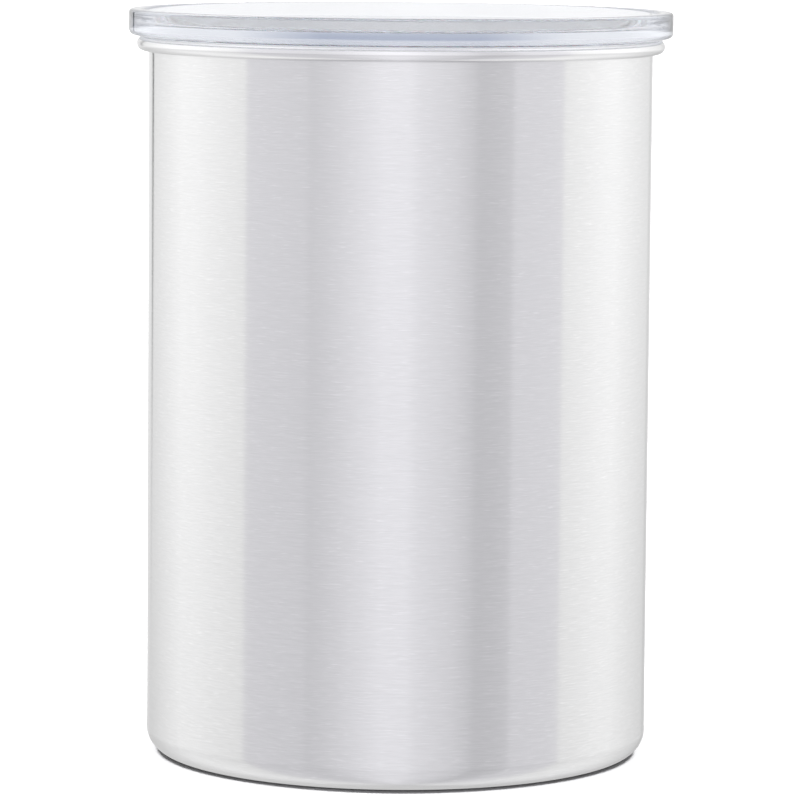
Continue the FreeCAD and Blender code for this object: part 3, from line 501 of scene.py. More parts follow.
def stretched_noise(tree, place, across, up, detail):
    """Noise whose spots are this wide and high."""
    spot = add_node(tree, "ShaderNodeCombineXYZ", {"X": across, "Y": across, "Z": up}).outputs[0]
    scaled = add_node(tree, "ShaderNodeVectorMath", {0: place, 1: spot}, operation="DIVIDE").outputs[0]
    inputs = {"Vector": scaled, "Scale": 1.0, "Detail": detail}
    return add_node(tree, "ShaderNodeTexNoise", inputs).outputs[0]


def brush_lines():
    """Fine lines of a brush that went round the Z axis, and a mask of a few short dashes for painted glints.
    """
    name = "Brush lines"
    if name in bpy.data.node_groups:
        return bpy.data.node_groups[name]
    group, given, wanted = new_group(name, (
        ("Vector", "NodeSocketVector"),
        ("Line length", "NodeSocketFloat"),
        ("Line height", "NodeSocketFloat"),
    ), ("Line", "Painted glint", "Height"))
    place = given["Vector"]
    across = given["Line length"]
    up = given["Line height"]
    short = stretched_noise(group, place, across, up, detail=3.0)
    long = stretched_noise(group, place, times(group, across, 2.6), times(group, up, 1.5), detail=2.0)
    both = maths(group, "ADD", short, long)
    feed(group, wanted["Line"], eased(group, both, 0.7, 1.3))
    # A mask of sparse short dashes that only lightens the steel's colour: painted glints, not scratches in
    # the surface.
    feed(group, wanted["Painted glint"], eased(group, short, 0.62, 0.74))
    feed(group, wanted["Height"], short)
    return group


def handling_marks():
    """Broad faint patches where hands and cloths have been."""
    name = "Handling marks"
    if name in bpy.data.node_groups:
        return bpy.data.node_groups[name]
    group, given, wanted = new_group(name, (
        ("Vector", "NodeSocketVector"),
        ("Mark size", "NodeSocketFloat"),
    ), ("Mark",))
    patch = stretched_noise(group, given["Vector"], given["Mark size"], given["Mark size"], detail=2.0)
    feed(group, wanted["Mark"], eased(group, patch, 0.35, 0.7, interpolation_type="SMOOTHSTEP"))
    return group


def moulded_grain():
    """The fine spark-eroded grain of a moulded surface, and its faint unevenness of tone."""
    name = "Moulded grain"
    if name in bpy.data.node_groups:
        return bpy.data.node_groups[name]
    group, given, wanted = new_group(name, (
        ("Vector", "NodeSocketVector"),
        ("Grain size", "NodeSocketFloat"),
    ), ("Height", "Tone"))
    grain = given["Grain size"]
    broad = times(group, grain, 40.0)
    feed(group, wanted["Height"], stretched_noise(group, given["Vector"], grain, grain, detail=2.0))
    feed(group, wanted["Tone"], stretched_noise(group, given["Vector"], broad, broad, detail=3.0))
    return group


def new_material(name):
    """An empty material with its tree, its shader and the place on the object."""
    material = bpy.data.materials.new(name)
    material.use_nodes = True
    tree = material.node_tree
    tree.nodes.clear()
    shader = add_node(tree, "ShaderNodeBsdfPrincipled")
    add_node(tree, "ShaderNodeOutputMaterial", {"Surface": shader.outputs[0]})
    return material, tree, shader, add_node(tree, "ShaderNodeTexCoord").outputs["Object"]


def use_group(tree, group, inputs):
    """Places a group in a material with its own values, and gives its outputs."""
    return add_node(tree, "ShaderNodeGroup", inputs, node_tree=group).outputs


def connect(tree, shader, **sockets):
    """Feeds the shader's sockets, whose names are given with underscores."""
    for name, value in sockets.items():
        feed(tree, shader.inputs[name.replace("_", " ")], value)


def brushed_steel(finishes):
    """Satin stainless steel, brushed round the can, so that its highlights stretch up and down."""
    material, tree, shader, place = new_material("brushed_steel")
    brush = use_group(tree, brush_lines(), {"Vector": place, "Line length": 0.0026, "Line height": 0.00024})
    mark = use_group(tree, handling_marks(), {"Vector": place, "Mark size": 0.045})["Mark"]
    uneven = maths(tree, "ADD", brush["Line"], mark)
    # The base colour is lightened along the sparse dashes as painted glints, on top of the brushed lines' own
    # tone.
    glint = maths(tree, "MULTIPLY_ADD", brush["Painted glint"], 0.9, times(tree, brush["Line"], 0.5))
    tangent = add_node(tree, "ShaderNodeTangent", direction_type="RADIAL", axis="Z").outputs[0]
    connect(
        tree, shader,
        Base_Color=toned(tree, glint, finishes.steel, share=0.055),
        Metallic=1.0,
        Roughness=spread(tree, times(tree, uneven, 0.5), low=0.15, high=0.20),
        Anisotropic=1.0,
        Anisotropic_Rotation=0.25,
        Tangent=tangent,
        Normal=bump(tree, brush["Height"], depth=0.000004),
    )
    return material


def polished_steel(finishes):
    """Bright stainless steel with faint drawing lines and marks."""
    name = "polished_steel"
    if name in bpy.data.materials:
        return bpy.data.materials[name]
    material, tree, shader, place = new_material(name)
    brush = use_group(tree, brush_lines(), {"Vector": place, "Line length": 0.02, "Line height": 0.0003})
    mark = use_group(tree, handling_marks(), {"Vector": place, "Mark size": 0.012})["Mark"]
    connect(
        tree, shader,
        Base_Color=toned(tree, brush["Line"], finishes.bright_steel, share=0.015),
        Metallic=1.0,
        Roughness=spread(tree, mark, low=0.16, high=0.24),
        Normal=bump(tree, brush["Height"], depth=0.000002),
    )
    return material


def clear_plastic(finishes):
    """Clear glossy plastic that takes on a tint where it is thick, with the faintest wiping marks."""
    material, tree, shader, place = new_material("clear_plastic")
    mark = use_group(tree, handling_marks(), {"Vector": place, "Mark size": 0.02})["Mark"]
    connect(
        tree, shader,
        Base_Color=toned(tree, mark, finishes.clear, share=0.008),
        Metallic=0.0,
        Roughness=spread(tree, mark, low=0.0, high=0.03),
        IOR=1.49,
        Transmission_Weight=1.0,
    )
    depth = add_node(tree, "ShaderNodeVolumeAbsorption", {
        "Color": (*finishes.clear_depth, 1.0),
        "Density": 2.4,
    })
    tree.links.new(depth.outputs["Volume"], tree.nodes["Material Output"].inputs["Volume"])
    return material


def soft_silicone(finishes):
    """Matt, slightly see-through silicone."""
    name = "soft_silicone"
    if name in bpy.data.materials:
        return bpy.data.materials[name]
    material, tree, shader, place = new_material(name)
    grain = use_group(tree, moulded_grain(), {"Vector": place, "Grain size": 0.0003})
    connect(
        tree, shader,
        Base_Color=toned(tree, grain["Tone"], finishes.silicone, share=0.05),
        Roughness=spread(tree, grain["Tone"], low=0.45, high=0.6),
        IOR=1.41,
        Subsurface_Weight=0.25,
        Subsurface_Scale=0.002,
        Normal=bump(tree, grain["Height"], depth=0.00001),
    )
    return material


def moulded_plastic(name, base, grain_size, depth, roughness):
    """Moulded plastic of one colour, with the grain that its mould gives it."""
    if name in bpy.data.materials:
        return bpy.data.materials[name]
    material, tree, shader, place = new_material(name)
    grain = use_group(tree, moulded_grain(), {"Vector": place, "Grain size": grain_size})
    mark = use_group(tree, handling_marks(), {"Vector": place, "Mark size": 0.015})["Mark"]
    connect(
        tree, shader,
        Base_Color=toned(tree, grain["Tone"], base, share=0.04),
        Roughness=spread(tree, mark, low=roughness * 0.85, high=roughness * 1.1),
        IOR=1.49,
        Normal=bump(tree, grain["Height"], depth),
    )
    return material


def inner_lid_plastic(finishes):
    """The inner lid's pale grey plastic."""
    return moulded_plastic("inner_lid_plastic", finishes.inner_lid,
                           grain_size=0.00025, depth=0.000012, roughness=0.42)


def grey_plastic(finishes):
    """The handle's dark grey plastic."""
    return moulded_plastic("grey_plastic", finishes.grey,
                           grain_size=0.0003, depth=0.00002, roughness=0.5)


def valve_plastic(finishes):
    """The valve's smooth off-white plastic."""
    return moulded_plastic("valve_plastic", finishes.valve,
                           grain_size=0.0004, depth=0.000005, roughness=0.3)


class CANISTER_OT_steel_can(bpy.types.Operator):
    """Turn the drawn steel can, with its stamped base and rolled rim"""

    bl_idname = "canister.steel_can"
    bl_label = "Steel can"

    # The polish starts this many curl radii below the middle of the rolled rim.
    polish_reach = 1.5

    def execute(self, context):
        sizes = context.scene.canister.can
        finishes = context.scene.canister.finishes
        sheet = sizes.sheet
        corner = sizes.corner_radius
        curl = sizes.curl_radius
        sweep = math.degrees(sizes.curl_sweep)
        rise = CAN_LOW.z + sizes.base_rise
        curl_across = CAN_HIGH.x - curl
        curl_up = CAN_HIGH.z - curl
        wall = curl_across - curl + sheet
        corner_across = wall - corner
        foot = corner_across - sizes.foot_width
        panel = foot - sizes.base_ramp
        tail = math.pi - sizes.curl_sweep
        curl_inside = curl - sheet
        tail_edge = (curl_across + curl * math.cos(tail), curl_up + curl * math.sin(tail))
        tail_inside = (curl_across + curl_inside * math.cos(tail), curl_up + curl_inside * math.sin(tail))
        piece = turned_piece("steel_can", [
            (0.0, rise),
            (panel, rise),
            (foot, CAN_LOW.z),
            (corner_across, CAN_LOW.z),
            Arc(corner_across, CAN_LOW.z + corner, 90.0),
            (wall, curl_up),
            Arc(curl_across, curl_up, -sweep),
            tail_edge,
            Arc(curl_across, curl_up, sweep),
            (wall - sheet, CAN_LOW.z + corner),
            Arc(corner_across, CAN_LOW.z + corner, -90.0),
            (foot, CAN_LOW.z + sheet),
            (panel, rise + sheet),
            (0.0, rise + sheet),
        ], [
            (sizes.curl_round, [tail_edge, tail_inside]),
            (sizes.base_round, [
                (panel, rise), (foot, CAN_LOW.z), (foot, CAN_LOW.z + sheet), (panel, rise + sheet),
            ]),
        ])
        piece.data.materials.append(brushed_steel(finishes))
        piece.data.materials.append(polished_steel(finishes))
        polish_start = curl_up - curl * self.polish_reach
        for face in piece.data.polygons:
            face.material_index = int(face.center.z > polish_start and face.center.xy.length > wall)
        finish_piece(piece, None, "can", "brushed_can", "can_shell")
        return {"FINISHED"}


class CANISTER_OT_clear_lid(bpy.types.Operator):
    """Turn the clear outer lid, with its raised rim, panel and plug ring"""

    bl_idname = "canister.clear_lid"
    bl_label = "Clear outer lid"

    def execute(self, context):
        sizes = context.scene.canister.lid
        can = context.scene.canister.can
        radius = LID_HIGH.x
        top = LID_HIGH.z
        low = LID_LOW.z
        seat = low + sizes.plug_depth
        rim = radius - sizes.rim_width
        recess = rim - sizes.draft
        floor = top - sizes.recess
        ceiling = floor - sizes.panel
        plug = CAN_HIGH.x - 2 * can.curl_radius - sizes.plug_gap
        plug_inside = plug - sizes.plug_wall
        groove = plug - sizes.groove_depth
        groove_top = seat - sizes.groove_drop
        groove_low = groove_top - sizes.groove_height
        piece = turned_piece("clear_lid", [
            (0.0, ceiling),
            (plug_inside, ceiling),
            (plug_inside, low),
            (plug, low),
            (plug, groove_low),
            (groove, groove_low),
            (groove, groove_top),
            (plug, groove_top),
            (plug, seat),
            (radius, seat),
            (radius, top),
            (rim, top),
            (recess, floor),
            (0.0, floor),
        ], [
            (sizes.seat_round, [(radius, seat)]),
            (sizes.top_round, [(radius, top), (rim, top), (recess, floor)]),
            (sizes.plug_round, [(plug_inside, low), (plug, low)]),
            (sizes.edge_round, [
                (plug_inside, ceiling), (plug, seat), (plug, groove_top), (plug, groove_low),
            ]),
        ])
        plastic = clear_plastic(context.scene.canister.finishes)
        finish_piece(piece, plastic, "outer_lid", "clear_lid", "lid_cover")
        return {"FINISHED"}


class CANISTER_OT_seal_rings(bpy.types.Operator):
    """Turn the two silicone seals: the outer lid's ring and the inner lid's wiper"""

    bl_idname = "canister.seal_rings"
    bl_label = "Seal rings"

    # Shares of the wiper's height: where its lips start, and a lip's edges and end above its start.
    lip_roots = (0.0, 0.52)
    lip_edges = (0.20, 0.32)
    lip_end = 0.34

    def execute(self, context):
        lid = context.scene.canister.lid
        inner = context.scene.canister.inner
        silicone = soft_silicone(context.scene.canister.finishes)
        tip = LID_SEAL_HIGH.x
        low = LID_SEAL_LOW.z
        high = LID_SEAL_HIGH.z
        middle = (low + high) / 2
        half_tip = (high - low) * lid.seal_tip / 2
        plug = CAN_HIGH.x - 2 * context.scene.canister.can.curl_radius - lid.plug_gap
        bed = plug - lid.groove_depth + lid.seal_fit
        tips = [(tip, middle - half_tip), (tip, middle + half_tip)]
        ring = turned_piece("lid_seal_ring", [
            (bed, low), (plug, low), *tips, (plug, high), (bed, high), (bed, low),
        ], [(lid.seal_round, tips)])
        finish_piece(ring, silicone, "outer_lid", "silicone", "lid_seal")

        bed = DISH_HIGH.x - inner.wiper_depth + lid.seal_fit
        band = bed + inner.wiper_band
        reach = WIPER_HIGH.x
        low = WIPER_LOW.z
        tall = WIPER_HIGH.z - low
        outline = [(bed, low)]
        edges = []
        for root in self.lip_roots:
            lip = [(reach, low + tall * (root + edge)) for edge in self.lip_edges]
            outline += [(band, low + tall * root), *lip, (band, low + tall * (root + self.lip_end))]
            edges += lip
        outline += [(band, low + tall), (bed, low + tall), (bed, low)]
        wiper = turned_piece("wiper_seal", outline, [(inner.wiper_round, edges)])
        finish_piece(wiper, silicone, "inner_lid", "silicone", "plunger_seal")
        return {"FINISHED"}


class CANISTER_OT_inner_lid(bpy.types.Operator):
    """Turn the moulded inner lid and add its bosses, rests, vents and bearings"""

    bl_idname = "canister.inner_lid"
    bl_label = "Inner lid"

    vent_count = 8
    # How far the bearings are cut, as a share of the turret's radius.
    cut_reach = 1.2

    def execute(self, context):
        sizes = context.scene.canister.inner
        handle = context.scene.canister.handle
        dish_top = DISH_HIGH.z
        deck = dish_top - sizes.dish_rise
        under = deck - sizes.deck
        flange = DISH_HIGH.x
        wall = flange - sizes.wiper_depth
        inside = wall - sizes.dish_wall
        lip = wall + sizes.lip_reach
        lip_low = dish_top - sizes.lip_thick
        wiper_low = under + sizes.flange_thick
        wiper_top = wiper_low + sizes.wiper_height
        flange_top = wiper_top + sizes.flange_thick
        turret = COVER_HIGH.x
        turret_inside = turret - sizes.turret_wall
        turret_top = COVER_HIGH.z - sizes.cover_thick
        seat = sizes.seat_inner + sizes.seat_width
        seat_top = deck + sizes.seat_height
        guide = sizes.guide_bore + sizes.guide_wall
        guide_low = under - sizes.guide_drop
        spigot = sizes.spigot_inner + sizes.spigot_wall
        spigot_low = under - sizes.spigot_drop
        piece = turned_piece("inner_dish", [
            (sizes.guide_bore, guide_low),
            (guide, guide_low),
            (guide, under),
            (sizes.spigot_inner, under),
            (sizes.spigot_inner, spigot_low),
            (spigot, spigot_low),
            (spigot, under),
            (flange, under),
            (flange, wiper_low),
            (wall, wiper_low),
            (wall, wiper_top),
            (flange, wiper_top),
            (flange, flange_top),
            (wall, flange_top),
            (wall, lip_low),
            (lip, lip_low),
            (lip, dish_top),
            (inside, dish_top),
            (inside, deck),
            (turret, deck),
            (turret, turret_top),
            (turret_inside, turret_top),
            (turret_inside, deck),
            (seat, deck),
            (seat, seat_top),
            (sizes.seat_inner, seat_top),
            (sizes.seat_inner, deck),
            (sizes.guide_bore, deck),
            (sizes.guide_bore, guide_low),
        ], [
            (sizes.foot_round, [(inside, deck)]),
            (sizes.turret_round, [(turret, deck)]),
            (sizes.edge_round, [
                (flange, under), (flange, flange_top), (lip, lip_low), (lip, dish_top), (inside, dish_top),
            ]),
        ])
        for side in (1.0, -1.0):
            screw = Vector((0.0, side * sizes.boss_circle, 0.0))
            boss = rod(sizes.boss_radius, screw + UP * (deck - sizes.deck / 2),
                       screw + UP * (turret_top - sizes.boss_drop))
            combine(piece, boss, "UNION")
            hole = rod(sizes.pilot_radius, screw + UP * (turret_top - sizes.pilot_depth),
                       screw + UP * (turret_top + sizes.deck))
            combine(piece, hole, "DIFFERENCE")
            turn = side * sizes.rest_angle - math.pi / 2
            middle = HANDLE_HIGH.x - handle.band / 2
            rest_top = HINGE.z - handle.thick / 2 - sizes.rest_gap
            rest = rod(sizes.rest_radius, around(middle, turn, deck - sizes.deck / 2),
                       around(middle, turn, rest_top))
            combine(piece, rest, "UNION")
        for number in range(self.vent_count):
            turn = math.tau * number / self.vent_count
            vent = rod(sizes.vent_radius, around(sizes.vent_circle, turn, under - sizes.deck),
                       around(sizes.vent_circle, turn, deck + sizes.deck))
            combine(piece, vent, "DIFFERENCE")
        reach = turret * self.cut_reach
        bearing = sizes.bearing_radius
        bore = rod(bearing, HINGE - Vector((reach, 0.0, 0.0)), HINGE + Vector((reach, 0.0, 0.0)))
        combine(piece, bore, "DIFFERENCE")
        mouth = block((-reach, -bearing, HINGE.z), (reach, bearing, turret_top + sizes.deck))
        combine(piece, mouth, "DIFFERENCE")
        plastic = inner_lid_plastic(context.scene.canister.finishes)
        finish_piece(piece, plastic, "inner_lid", "inner_lid_plastic", "plunger_body")
        return {"FINISHED"}


class CANISTER_OT_turret_cover(bpy.types.Operator):
    """Turn the turret's cover and cut its air slots, and make the two screws that hold it"""

    bl_idname = "canister.turret_cover"
    bl_label = "Turret cover and screws"

    slot_count = 8

    def cross(self, sizes, top):
        """A cross for cutting a screw's slots: a square bar whose four sides are drawn out."""
        half = sizes.drive_width / 2
        tool = block((-half, -half, top - sizes.drive_depth), (half, half, top + sizes.head_height))
        bpy.ops.object.mode_set(mode="EDIT")
        bpy.ops.mesh.select_mode(type="FACE")
        bpy.ops.mesh.select_all(action="DESELECT")
        mesh = bmesh.from_edit_mesh(tool.data)
        for face in mesh.faces:
            if abs(face.normal.z) < MERGE_REACH:
                face.select_set(True)
        bmesh.update_edit_mesh(tool.data)
        reach = sizes.drive_length / 2 - half
        bpy.ops.mesh.extrude_faces_move(TRANSFORM_OT_shrink_fatten={"value": reach})
        bpy.ops.object.mode_set(mode="OBJECT")
        return tool

    def execute(self, context):
        sizes = context.scene.canister.inner
        finishes = context.scene.canister.finishes
        top = COVER_HIGH.z
        under = top - sizes.cover_thick
        radius = COVER_HIGH.x
        past = UP * sizes.cover_thick
        cover = turned_piece("turret_cover", [
            (0.0, under), (radius, under), (radius, top), (0.0, top),
        ], [(sizes.cover_round, [(radius, top)])])
        gap = sizes.tongue_gap
        half_tongue = sizes.bearing_radius - gap
        for side in (1.0, -1.0):
            ends = sorted((side * (radius - sizes.turret_wall + gap), side * (radius - gap)))
            tongue = block((ends[0], -half_tongue, COVER_LOW.z), (ends[1], half_tongue, (under + top) / 2))
            combine(cover, tongue, "UNION")
            screw = Vector((0.0, side * sizes.boss_circle, top))
            hole = rod(sizes.pilot_radius, screw - past * 2, screw + past)
            combine(cover, hole, "DIFFERENCE")
            sink = rod(sizes.sink_radius, screw - UP * sizes.head_height, screw + past)
            combine(cover, sink, "DIFFERENCE")
        half_slot = sizes.slot_width / 2
        for number in range(self.slot_count):
            turn = math.tau * number / self.slot_count
            slot = block((sizes.slot_inner, -half_slot, under - sizes.cover_thick),
                         (sizes.slot_outer, half_slot, top + sizes.cover_thick))
            slot.data.transform(Matrix.Rotation(turn, 4, "Z"))
            combine(cover, slot, "DIFFERENCE")
        finish_piece(cover, grey_plastic(finishes), "inner_lid", "grey_plastic", "turret_cap")

        seat = top - sizes.head_height
        head = sizes.head_radius
        shank = sizes.shank_radius
        tip = SCREWS_LOW.z
        screws = turned_piece("cover_screws", [
            (0.0, tip), (shank, tip), (shank, seat), (head, seat), (head, top), (0.0, top),
        ], [(sizes.head_round, [(head, top)])], steps=ROD_SIDES)
        combine(screws, self.cross(sizes, top), "DIFFERENCE")
        take_up(screws)
        bpy.ops.object.mode_set(mode="EDIT")
        bpy.ops.mesh.select_all(action="SELECT")
        bpy.ops.transform.translate(value=(0.0, sizes.boss_circle, 0.0))
        bpy.ops.mesh.duplicate_move(TRANSFORM_OT_translate={"value": (0.0, -2 * sizes.boss_circle, 0.0)})
        bpy.ops.object.mode_set(mode="OBJECT")
        finish_piece(screws, polished_steel(finishes), "inner_lid", "small_steel", "cap_screws")
        return {"FINISHED"}


class CANISTER_OT_handle(bpy.types.Operator):
    """Model the fold-down handle: a half ring with a lift tab on two hinge barrels"""

    bl_idname = "canister.handle"
    bl_label = "Fold-down handle"

    # The lift tab's edges are told apart by their rise, as a share of their length, and by their angle.
    upright_rise = 0.9
    level_rise = 0.1
    sharp_angle = math.radians(60.0)

    def half_ring(self, sizes):
        """A rounded bar bent into a half ring round the front."""
        outside = HANDLE_HIGH.x
        inside = outside - sizes.band
        low = HINGE.z - sizes.thick / 2
        high = HINGE.z + sizes.thick / 2
        corners = [(inside, low), (outside, low), (outside, high), (inside, high)]
        piece = draw_outline("flip_handle", corners[0], [*corners[1:], corners[0]])
        round_corners(piece, sizes.ring_round, corners)
        bpy.ops.mesh.select_all(action="SELECT")
        bpy.ops.mesh.spin(steps=TURN_STEPS // 2, angle=math.pi, center=(0.0, 0.0, 0.0), axis=UP)
        bpy.ops.mesh.select_all(action="SELECT")
        bpy.ops.mesh.fill_holes(sides=0)
        close_up()
        return piece

    def barrel(self, sizes, side):
        """A hinge barrel, turned about the hinge, from the turret to the end of the half ring."""
        start = side * (COVER_HIGH.x + sizes.barrel_gap)
        end = side * HANDLE_HIGH.x
        top = HINGE.z + sizes.barrel_radius
        return turned_piece("hinge_barrel", [
            (start, HINGE.z), (start, top), (end, top), (end, HINGE.z),
        ], [
            (sizes.barrel_round, [(end, top)]),
            (sizes.barrel_edge, [(start, top)]),
        ], centre=HINGE, axis=(1.0, 0.0, 0.0), steps=ROD_SIDES * 2)

    def lift_tab(self, sizes):
        """A flat tab with round front corners, to lift the handle by."""
        front = HANDLE_LOW.y
        half = sizes.tab_width / 2
        tab = block((-half, front, HINGE.z - sizes.tab_thick / 2),
                    (half, -(HANDLE_HIGH.x - sizes.band / 2), HINGE.z + sizes.tab_thick / 2))
        bpy.ops.object.mode_set(mode="EDIT")
        for offset, upright in ((sizes.tab_round, True), (sizes.tab_edge, False)):
            bpy.ops.mesh.select_mode(type="EDGE")
            bpy.ops.mesh.select_all(action="DESELECT")
            mesh = bmesh.from_edit_mesh(tab.data)
            for edge in mesh.edges:
                way = (edge.verts[1].co - edge.verts[0].co).normalized()
                middle = (edge.verts[0].co + edge.verts[1].co) / 2
                rise = abs(way.z)
                if upright:
                    wanted = rise > self.upright_rise and middle.y < front + MERGE_REACH
                else:
                    wanted = rise < self.level_rise and edge.calc_face_angle(0.0) > self.sharp_angle
                edge.select_set(wanted)
            bmesh.update_edit_mesh(tab.data)
            bpy.ops.mesh.bevel(affect="EDGES", offset=offset, segments=ROUND_STEPS)
        bpy.ops.object.mode_set(mode="OBJECT")
        return tab

    def execute(self, context):
        sizes = context.scene.canister.handle
        piece = self.half_ring(sizes)
        combine(piece, self.lift_tab(sizes), "UNION")
        for side in (1.0, -1.0):
            combine(piece, self.barrel(sizes, side), "UNION")
            end = Vector((side * (ROD_HIGH.x + sizes.socket_end), 0.0, HINGE.z))
            combine(piece, rod(sizes.socket_radius, HINGE, end), "DIFFERENCE")
        plastic = grey_plastic(context.scene.canister.finishes)
        finish_piece(piece, plastic, "flip_handle", "grey_plastic", "handle")
        return {"FINISHED"}


class CANISTER_OT_valve_parts(bpy.types.Operator):
    """Wind the valve's spring, and finish the small parts that keep their CAD shape"""

    bl_idname = "canister.valve_parts"
    bl_label = "Valve parts"

    def execute(self, context):
        sizes = context.scene.canister.handle
        finishes = context.scene.canister.finishes
        wire = sizes.wire_radius
        climb = SPRING_HIGH.z - SPRING_LOW.z - 2 * wire
        start_clean()
        bpy.ops.mesh.primitive_circle_add(vertices=WIRE_SIDES, radius=wire, rotation=(math.pi / 2, 0.0, 0.0),
                                          location=(SPRING_HIGH.x - wire, 0.0, SPRING_LOW.z + wire))
        spring = bpy.context.object
        spring.name = "spring_coil"
        spring.data.name = "spring_coil"
        bpy.ops.object.transform_apply(location=True, rotation=True, scale=True)
        bpy.ops.object.modifier_add(type="SCREW")
        screw = spring.modifiers[-1]
        screw.iterations = round(sizes.spring_turns)
        screw.screw_offset = climb / sizes.spring_turns
        screw.steps = ROD_SIDES
        screw.render_steps = ROD_SIDES
        bpy.ops.object.modifier_apply(modifier=screw.name)
        bpy.ops.object.mode_set(mode="EDIT")
        bpy.ops.mesh.select_all(action="SELECT")
        bpy.ops.mesh.fill_holes(sides=0)
        close_up()
        steel = polished_steel(finishes)
        finish_piece(spring, steel, "inner_lid", "small_steel", "valve_spring")
        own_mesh(spring)

        kept = {
            "strainer": inner_lid_plastic(finishes),
            "pivot_rod": steel,
            "valve_cam": valve_plastic(finishes),
            "valve_stem": valve_plastic(finishes),
            "valve_disc": soft_silicone(finishes),
            "spring_washer": steel,
            "spring_clip": steel,
        }
        for name, material in kept.items():
            node = frame["nodes"][name]
            node.data.materials.clear()
            node.data.materials.append(material)
        return {"FINISHED"}


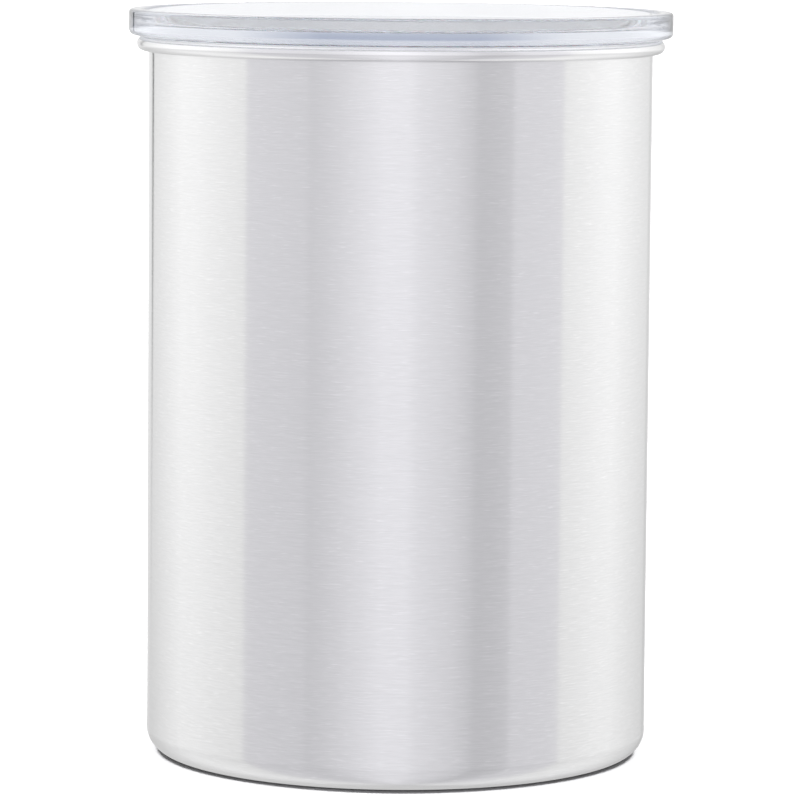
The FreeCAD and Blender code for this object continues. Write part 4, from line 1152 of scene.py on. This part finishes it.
class CANISTER_OT_studio(bpy.types.Operator):
    """Set up the pale floor, the soft light and the camera"""

    bl_idname = "canister.studio"
    bl_label = "Studio"

    # Brightness of the walls all round, by degrees to the right of the camera, and the most that it can be.
    walls = (
        (-180.0, 0.80), (-156.0, 0.82), (-149.5, 0.86), (-137.0, 0.97), (-118.0, 1.13), (-106.0, 1.12),
        (-74.2, 0.975), (-73.4, 0.845), (-42.4, 0.795), (-41.6, 0.75), (-33.0, 0.80), (-7.0, 1.03),
        (4.0, 1.03), (9.0, 0.955), (25.0, 0.85), (34.6, 0.735), (35.4, 0.685), (44.0, 0.70),
        (52.6, 0.745), (53.4, 0.84), (79.2, 0.88), (80.0, 1.0), (104.0, 1.12), (115.0, 1.14),
        (138.0, 0.97), (157.0, 0.82), (163.0, 0.62), (168.0, 0.80), (180.0, 0.80),
    )
    brightest = 1.25
    # The walls between these degrees are a little bluer.
    front = (-73.8, 79.6)
    front_tint = (0.993, 0.985, 1.025)
    # A dark upright slit: the degrees where it starts, is full, fades and ends.
    slit = (-157.0, -156.2, -154.2, -153.4)
    # Heights between which the light changes, from -1 for straight down to 1 for straight up.
    slit_height = (-0.12, -0.06)
    dusk_height = (-0.22, -0.07)
    ground_height = (-0.5, -0.26)
    lid_height = (0.0, 0.6)
    # Strength of the light below two of these heights.
    dusk = 0.75
    ground = 1.12
    # A blue-grey bank behind the can: its fading sides and foot, its rows and their least strength.
    bank_tint = (0.52, 0.56, 0.66)
    bank_sides = (0.18, 0.42)
    bank_foot = (0.0, 0.02)
    bank_rows = 400.0
    bank_least = 0.4
    # How far back a direction points where the backdrop starts to show through the lid, and shows in full.
    backdrop_start = (0.5, 0.8)
    bounces = 64
    lamp_height = 2.0
    picture_width = 36.0

    def lay_floor(self, studio, finishes):
        """A broad sheet of pale paper, level with the can's foot."""
        start_clean()
        bpy.ops.mesh.primitive_plane_add(size=studio.floor_size, location=(0.0, 0.0, CAD_BOX[0].z))
        floor = bpy.context.object
        floor.name = "floor"
        floor.visible_glossy = False
        floor.visible_transmission = False
        material, tree, shader, place = new_material("floor_paper")
        grain = use_group(tree, moulded_grain(), {"Vector": place, "Grain size": 0.002})
        connect(
            tree, shader,
            Base_Color=toned(tree, grain["Tone"], finishes.floor, share=0.004),
            Roughness=0.9,
        )
        floor.data.materials.append(material)

    def wall_stops(self):
        """The walls' colours, as stops of a ramp that goes once round."""
        stops = []
        for degrees, brightness in self.walls:
            tint = self.front_tint if self.front[0] < degrees < self.front[1] else WHITE
            stops.append(((degrees + 180.0) / 360.0, shaded(tint, brightness / self.brightest)))
        return stops

    def wall_strength(self, tree, turn, up, path, studio):
        """How strong the walls' light is, by its direction and by the kind of ray that meets it."""
        starts, full, fades, ends = (math.radians(degrees) for degrees in self.slit)
        slit = times(tree, eased(tree, turn, starts, full), eased(tree, turn, fades, ends, 1.0, 0.0),
                     eased(tree, up, *self.slit_height))
        below = times(tree, maths(tree, "LESS_THAN", up, 0.0), path["Diffuse Depth"])
        inside = times(tree, path["Is Transmission Ray"], path["Diffuse Depth"],
                       eased(tree, up, *self.lid_height))
        return times(
            tree,
            eased(tree, up, *self.dusk_height, self.dusk, 1.0),
            eased(tree, up, *self.ground_height, self.ground, 1.0),
            maths(tree, "SUBTRACT", 1.0, below, use_clamp=True),
            spread(tree, path["Is Diffuse Ray"], 1.0, studio.fill_light),
            spread(tree, inside, 1.0, studio.lid_light),
            spread(tree, slit, 1.0, 0.0),
            self.brightest * studio.wall_light,
        )

    def backdrop_colour(self, tree, parts, path):
        """White, with a blue-grey bank in the middle that shows only through the lid."""
        middle = eased(tree, maths(tree, "ABSOLUTE", parts["X"]), *self.bank_sides, 1.0, 0.0)
        foot = eased(tree, parts["Z"], *self.bank_foot)
        wave = maths(tree, "SINE", times(tree, parts["Z"], self.bank_rows))
        rows = eased(tree, wave, -1.0, 1.0, self.bank_least, 1.0)
        bank = times(tree, middle, foot, rows, path["Is Transmission Ray"])
        return coloured(tree, bank, ((0.0, WHITE), (1.0, self.bank_tint)))

    def light_walls(self, scene, studio):
        """Soft light from the studio's walls, in broad upright bands, and a white backdrop for the camera."""
        world = bpy.data.worlds.new("studio")
        scene.world = world
        world.use_nodes = True
        tree = world.node_tree
        tree.nodes.clear()
        way = add_node(tree, "ShaderNodeTexCoord").outputs["Generated"]
        parts = add_node(tree, "ShaderNodeSeparateXYZ", {0: way}).outputs
        path = add_node(tree, "ShaderNodeLightPath").outputs
        turn = maths(tree, "ARCTAN2", parts["X"], times(tree, parts["Y"], -1.0))
        walls = add_node(tree, "ShaderNodeBackground", {
            "Color": coloured(tree, eased(tree, turn, -math.pi, math.pi), self.wall_stops()),
            "Strength": self.wall_strength(tree, turn, parts["Z"], path, studio),
        })
        backdrop = add_node(tree, "ShaderNodeBackground", {
            "Color": self.backdrop_colour(tree, parts, path),
            "Strength": 1.0,
        })
        through = times(tree, path["Is Transmission Ray"], eased(tree, parts["Y"], *self.backdrop_start))
        seen = maths(tree, "MAXIMUM", path["Is Camera Ray"], through)
        mix = add_node(tree, "ShaderNodeMixShader", {0: seen, 1: walls.outputs[0], 2: backdrop.outputs[0]})
        add_node(tree, "ShaderNodeOutputWorld", {"Surface": mix.outputs[0]})

    def hang_top_lights(self, studio):
        """Two broad soft lights above, which show neither in the steel nor through the lid."""
        for side, name in ((-1.0, "left_light"), (1.0, "right_light")):
            start_clean()
            bpy.ops.object.light_add(type="SUN", location=(side, 0.0, self.lamp_height),
                                     rotation=(0.0, side * studio.top_lean, 0.0))
            lamp = bpy.context.object
            lamp.name = name
            lamp.data.energy = studio.top_light
            lamp.data.angle = studio.top_spread
            lamp.visible_glossy = False
            lamp.visible_transmission = False

    def set_camera(self, scene, studio):
        """The camera, in front of the can and a little above it."""
        start_clean()
        pan = Matrix.Rotation(-studio.camera_yaw, 4, "Z")
        tilt = Matrix.Rotation(math.pi / 2 - studio.camera_pitch, 4, "X")
        tip = Matrix.Rotation(studio.camera_roll, 4, "Z")
        bpy.ops.object.camera_add(location=(0.0, -studio.camera_distance, studio.camera_height),
                                  rotation=(pan @ tilt @ tip).to_euler())
        camera = bpy.context.object
        camera.name = "camera"
        camera.data.sensor_width = self.picture_width
        camera.data.lens = studio.camera_lens
        scene.camera = camera

    def execute(self, context):
        studio = context.scene.canister.studio
        self.lay_floor(studio, context.scene.canister.finishes)
        self.light_walls(context.scene, studio)
        self.hang_top_lights(studio)
        self.set_camera(context.scene, studio)
        context.scene.view_settings.view_transform = "Standard"
        context.scene.cycles.max_bounces = self.bounces
        context.scene.cycles.glossy_bounces = self.bounces
        context.scene.cycles.transmission_bounces = self.bounces
        return {"FINISHED"}


class CANISTER_PT_panel(bpy.types.Panel):
    """The canister's operators in the sidebar"""

    bl_idname = "CANISTER_PT_panel"
    bl_label = "Coffee canister"
    bl_space_type = "VIEW_3D"
    bl_region_type = "UI"
    bl_category = "Canister"

    def draw(self, context):
        for operator in OPERATORS:
            self.layout.operator(operator.bl_idname)


OPERATORS = (
    CANISTER_OT_steel_can,
    CANISTER_OT_clear_lid,
    CANISTER_OT_seal_rings,
    CANISTER_OT_inner_lid,
    CANISTER_OT_turret_cover,
    CANISTER_OT_handle,
    CANISTER_OT_valve_parts,
    CANISTER_OT_studio,
)
GROUPS = (CanSizes, LidSizes, InnerLidSizes, HandleSizes, Finishes, StudioSizes, CanisterSettings)


def register():
    """Registers the settings, operators and panel."""
    for kind in (*GROUPS, *OPERATORS, CANISTER_PT_panel):
        bpy.utils.register_class(kind)
    bpy.types.Scene.canister = PointerProperty(type=CanisterSettings)


def unregister():
    """Takes the settings, operators and panel out again."""
    del bpy.types.Scene.canister
    for kind in reversed((*GROUPS, *OPERATORS, CANISTER_PT_panel)):
        bpy.utils.unregister_class(kind)


def main():
    """Builds everything in order."""
    register()
    bpy.ops.canister.steel_can()
    bpy.ops.canister.clear_lid()
    bpy.ops.canister.seal_rings()
    bpy.ops.canister.inner_lid()
    bpy.ops.canister.turret_cover()
    bpy.ops.canister.handle()
    bpy.ops.canister.valve_parts()
    bpy.ops.canister.studio()


if __name__ == "__main__":
    main()
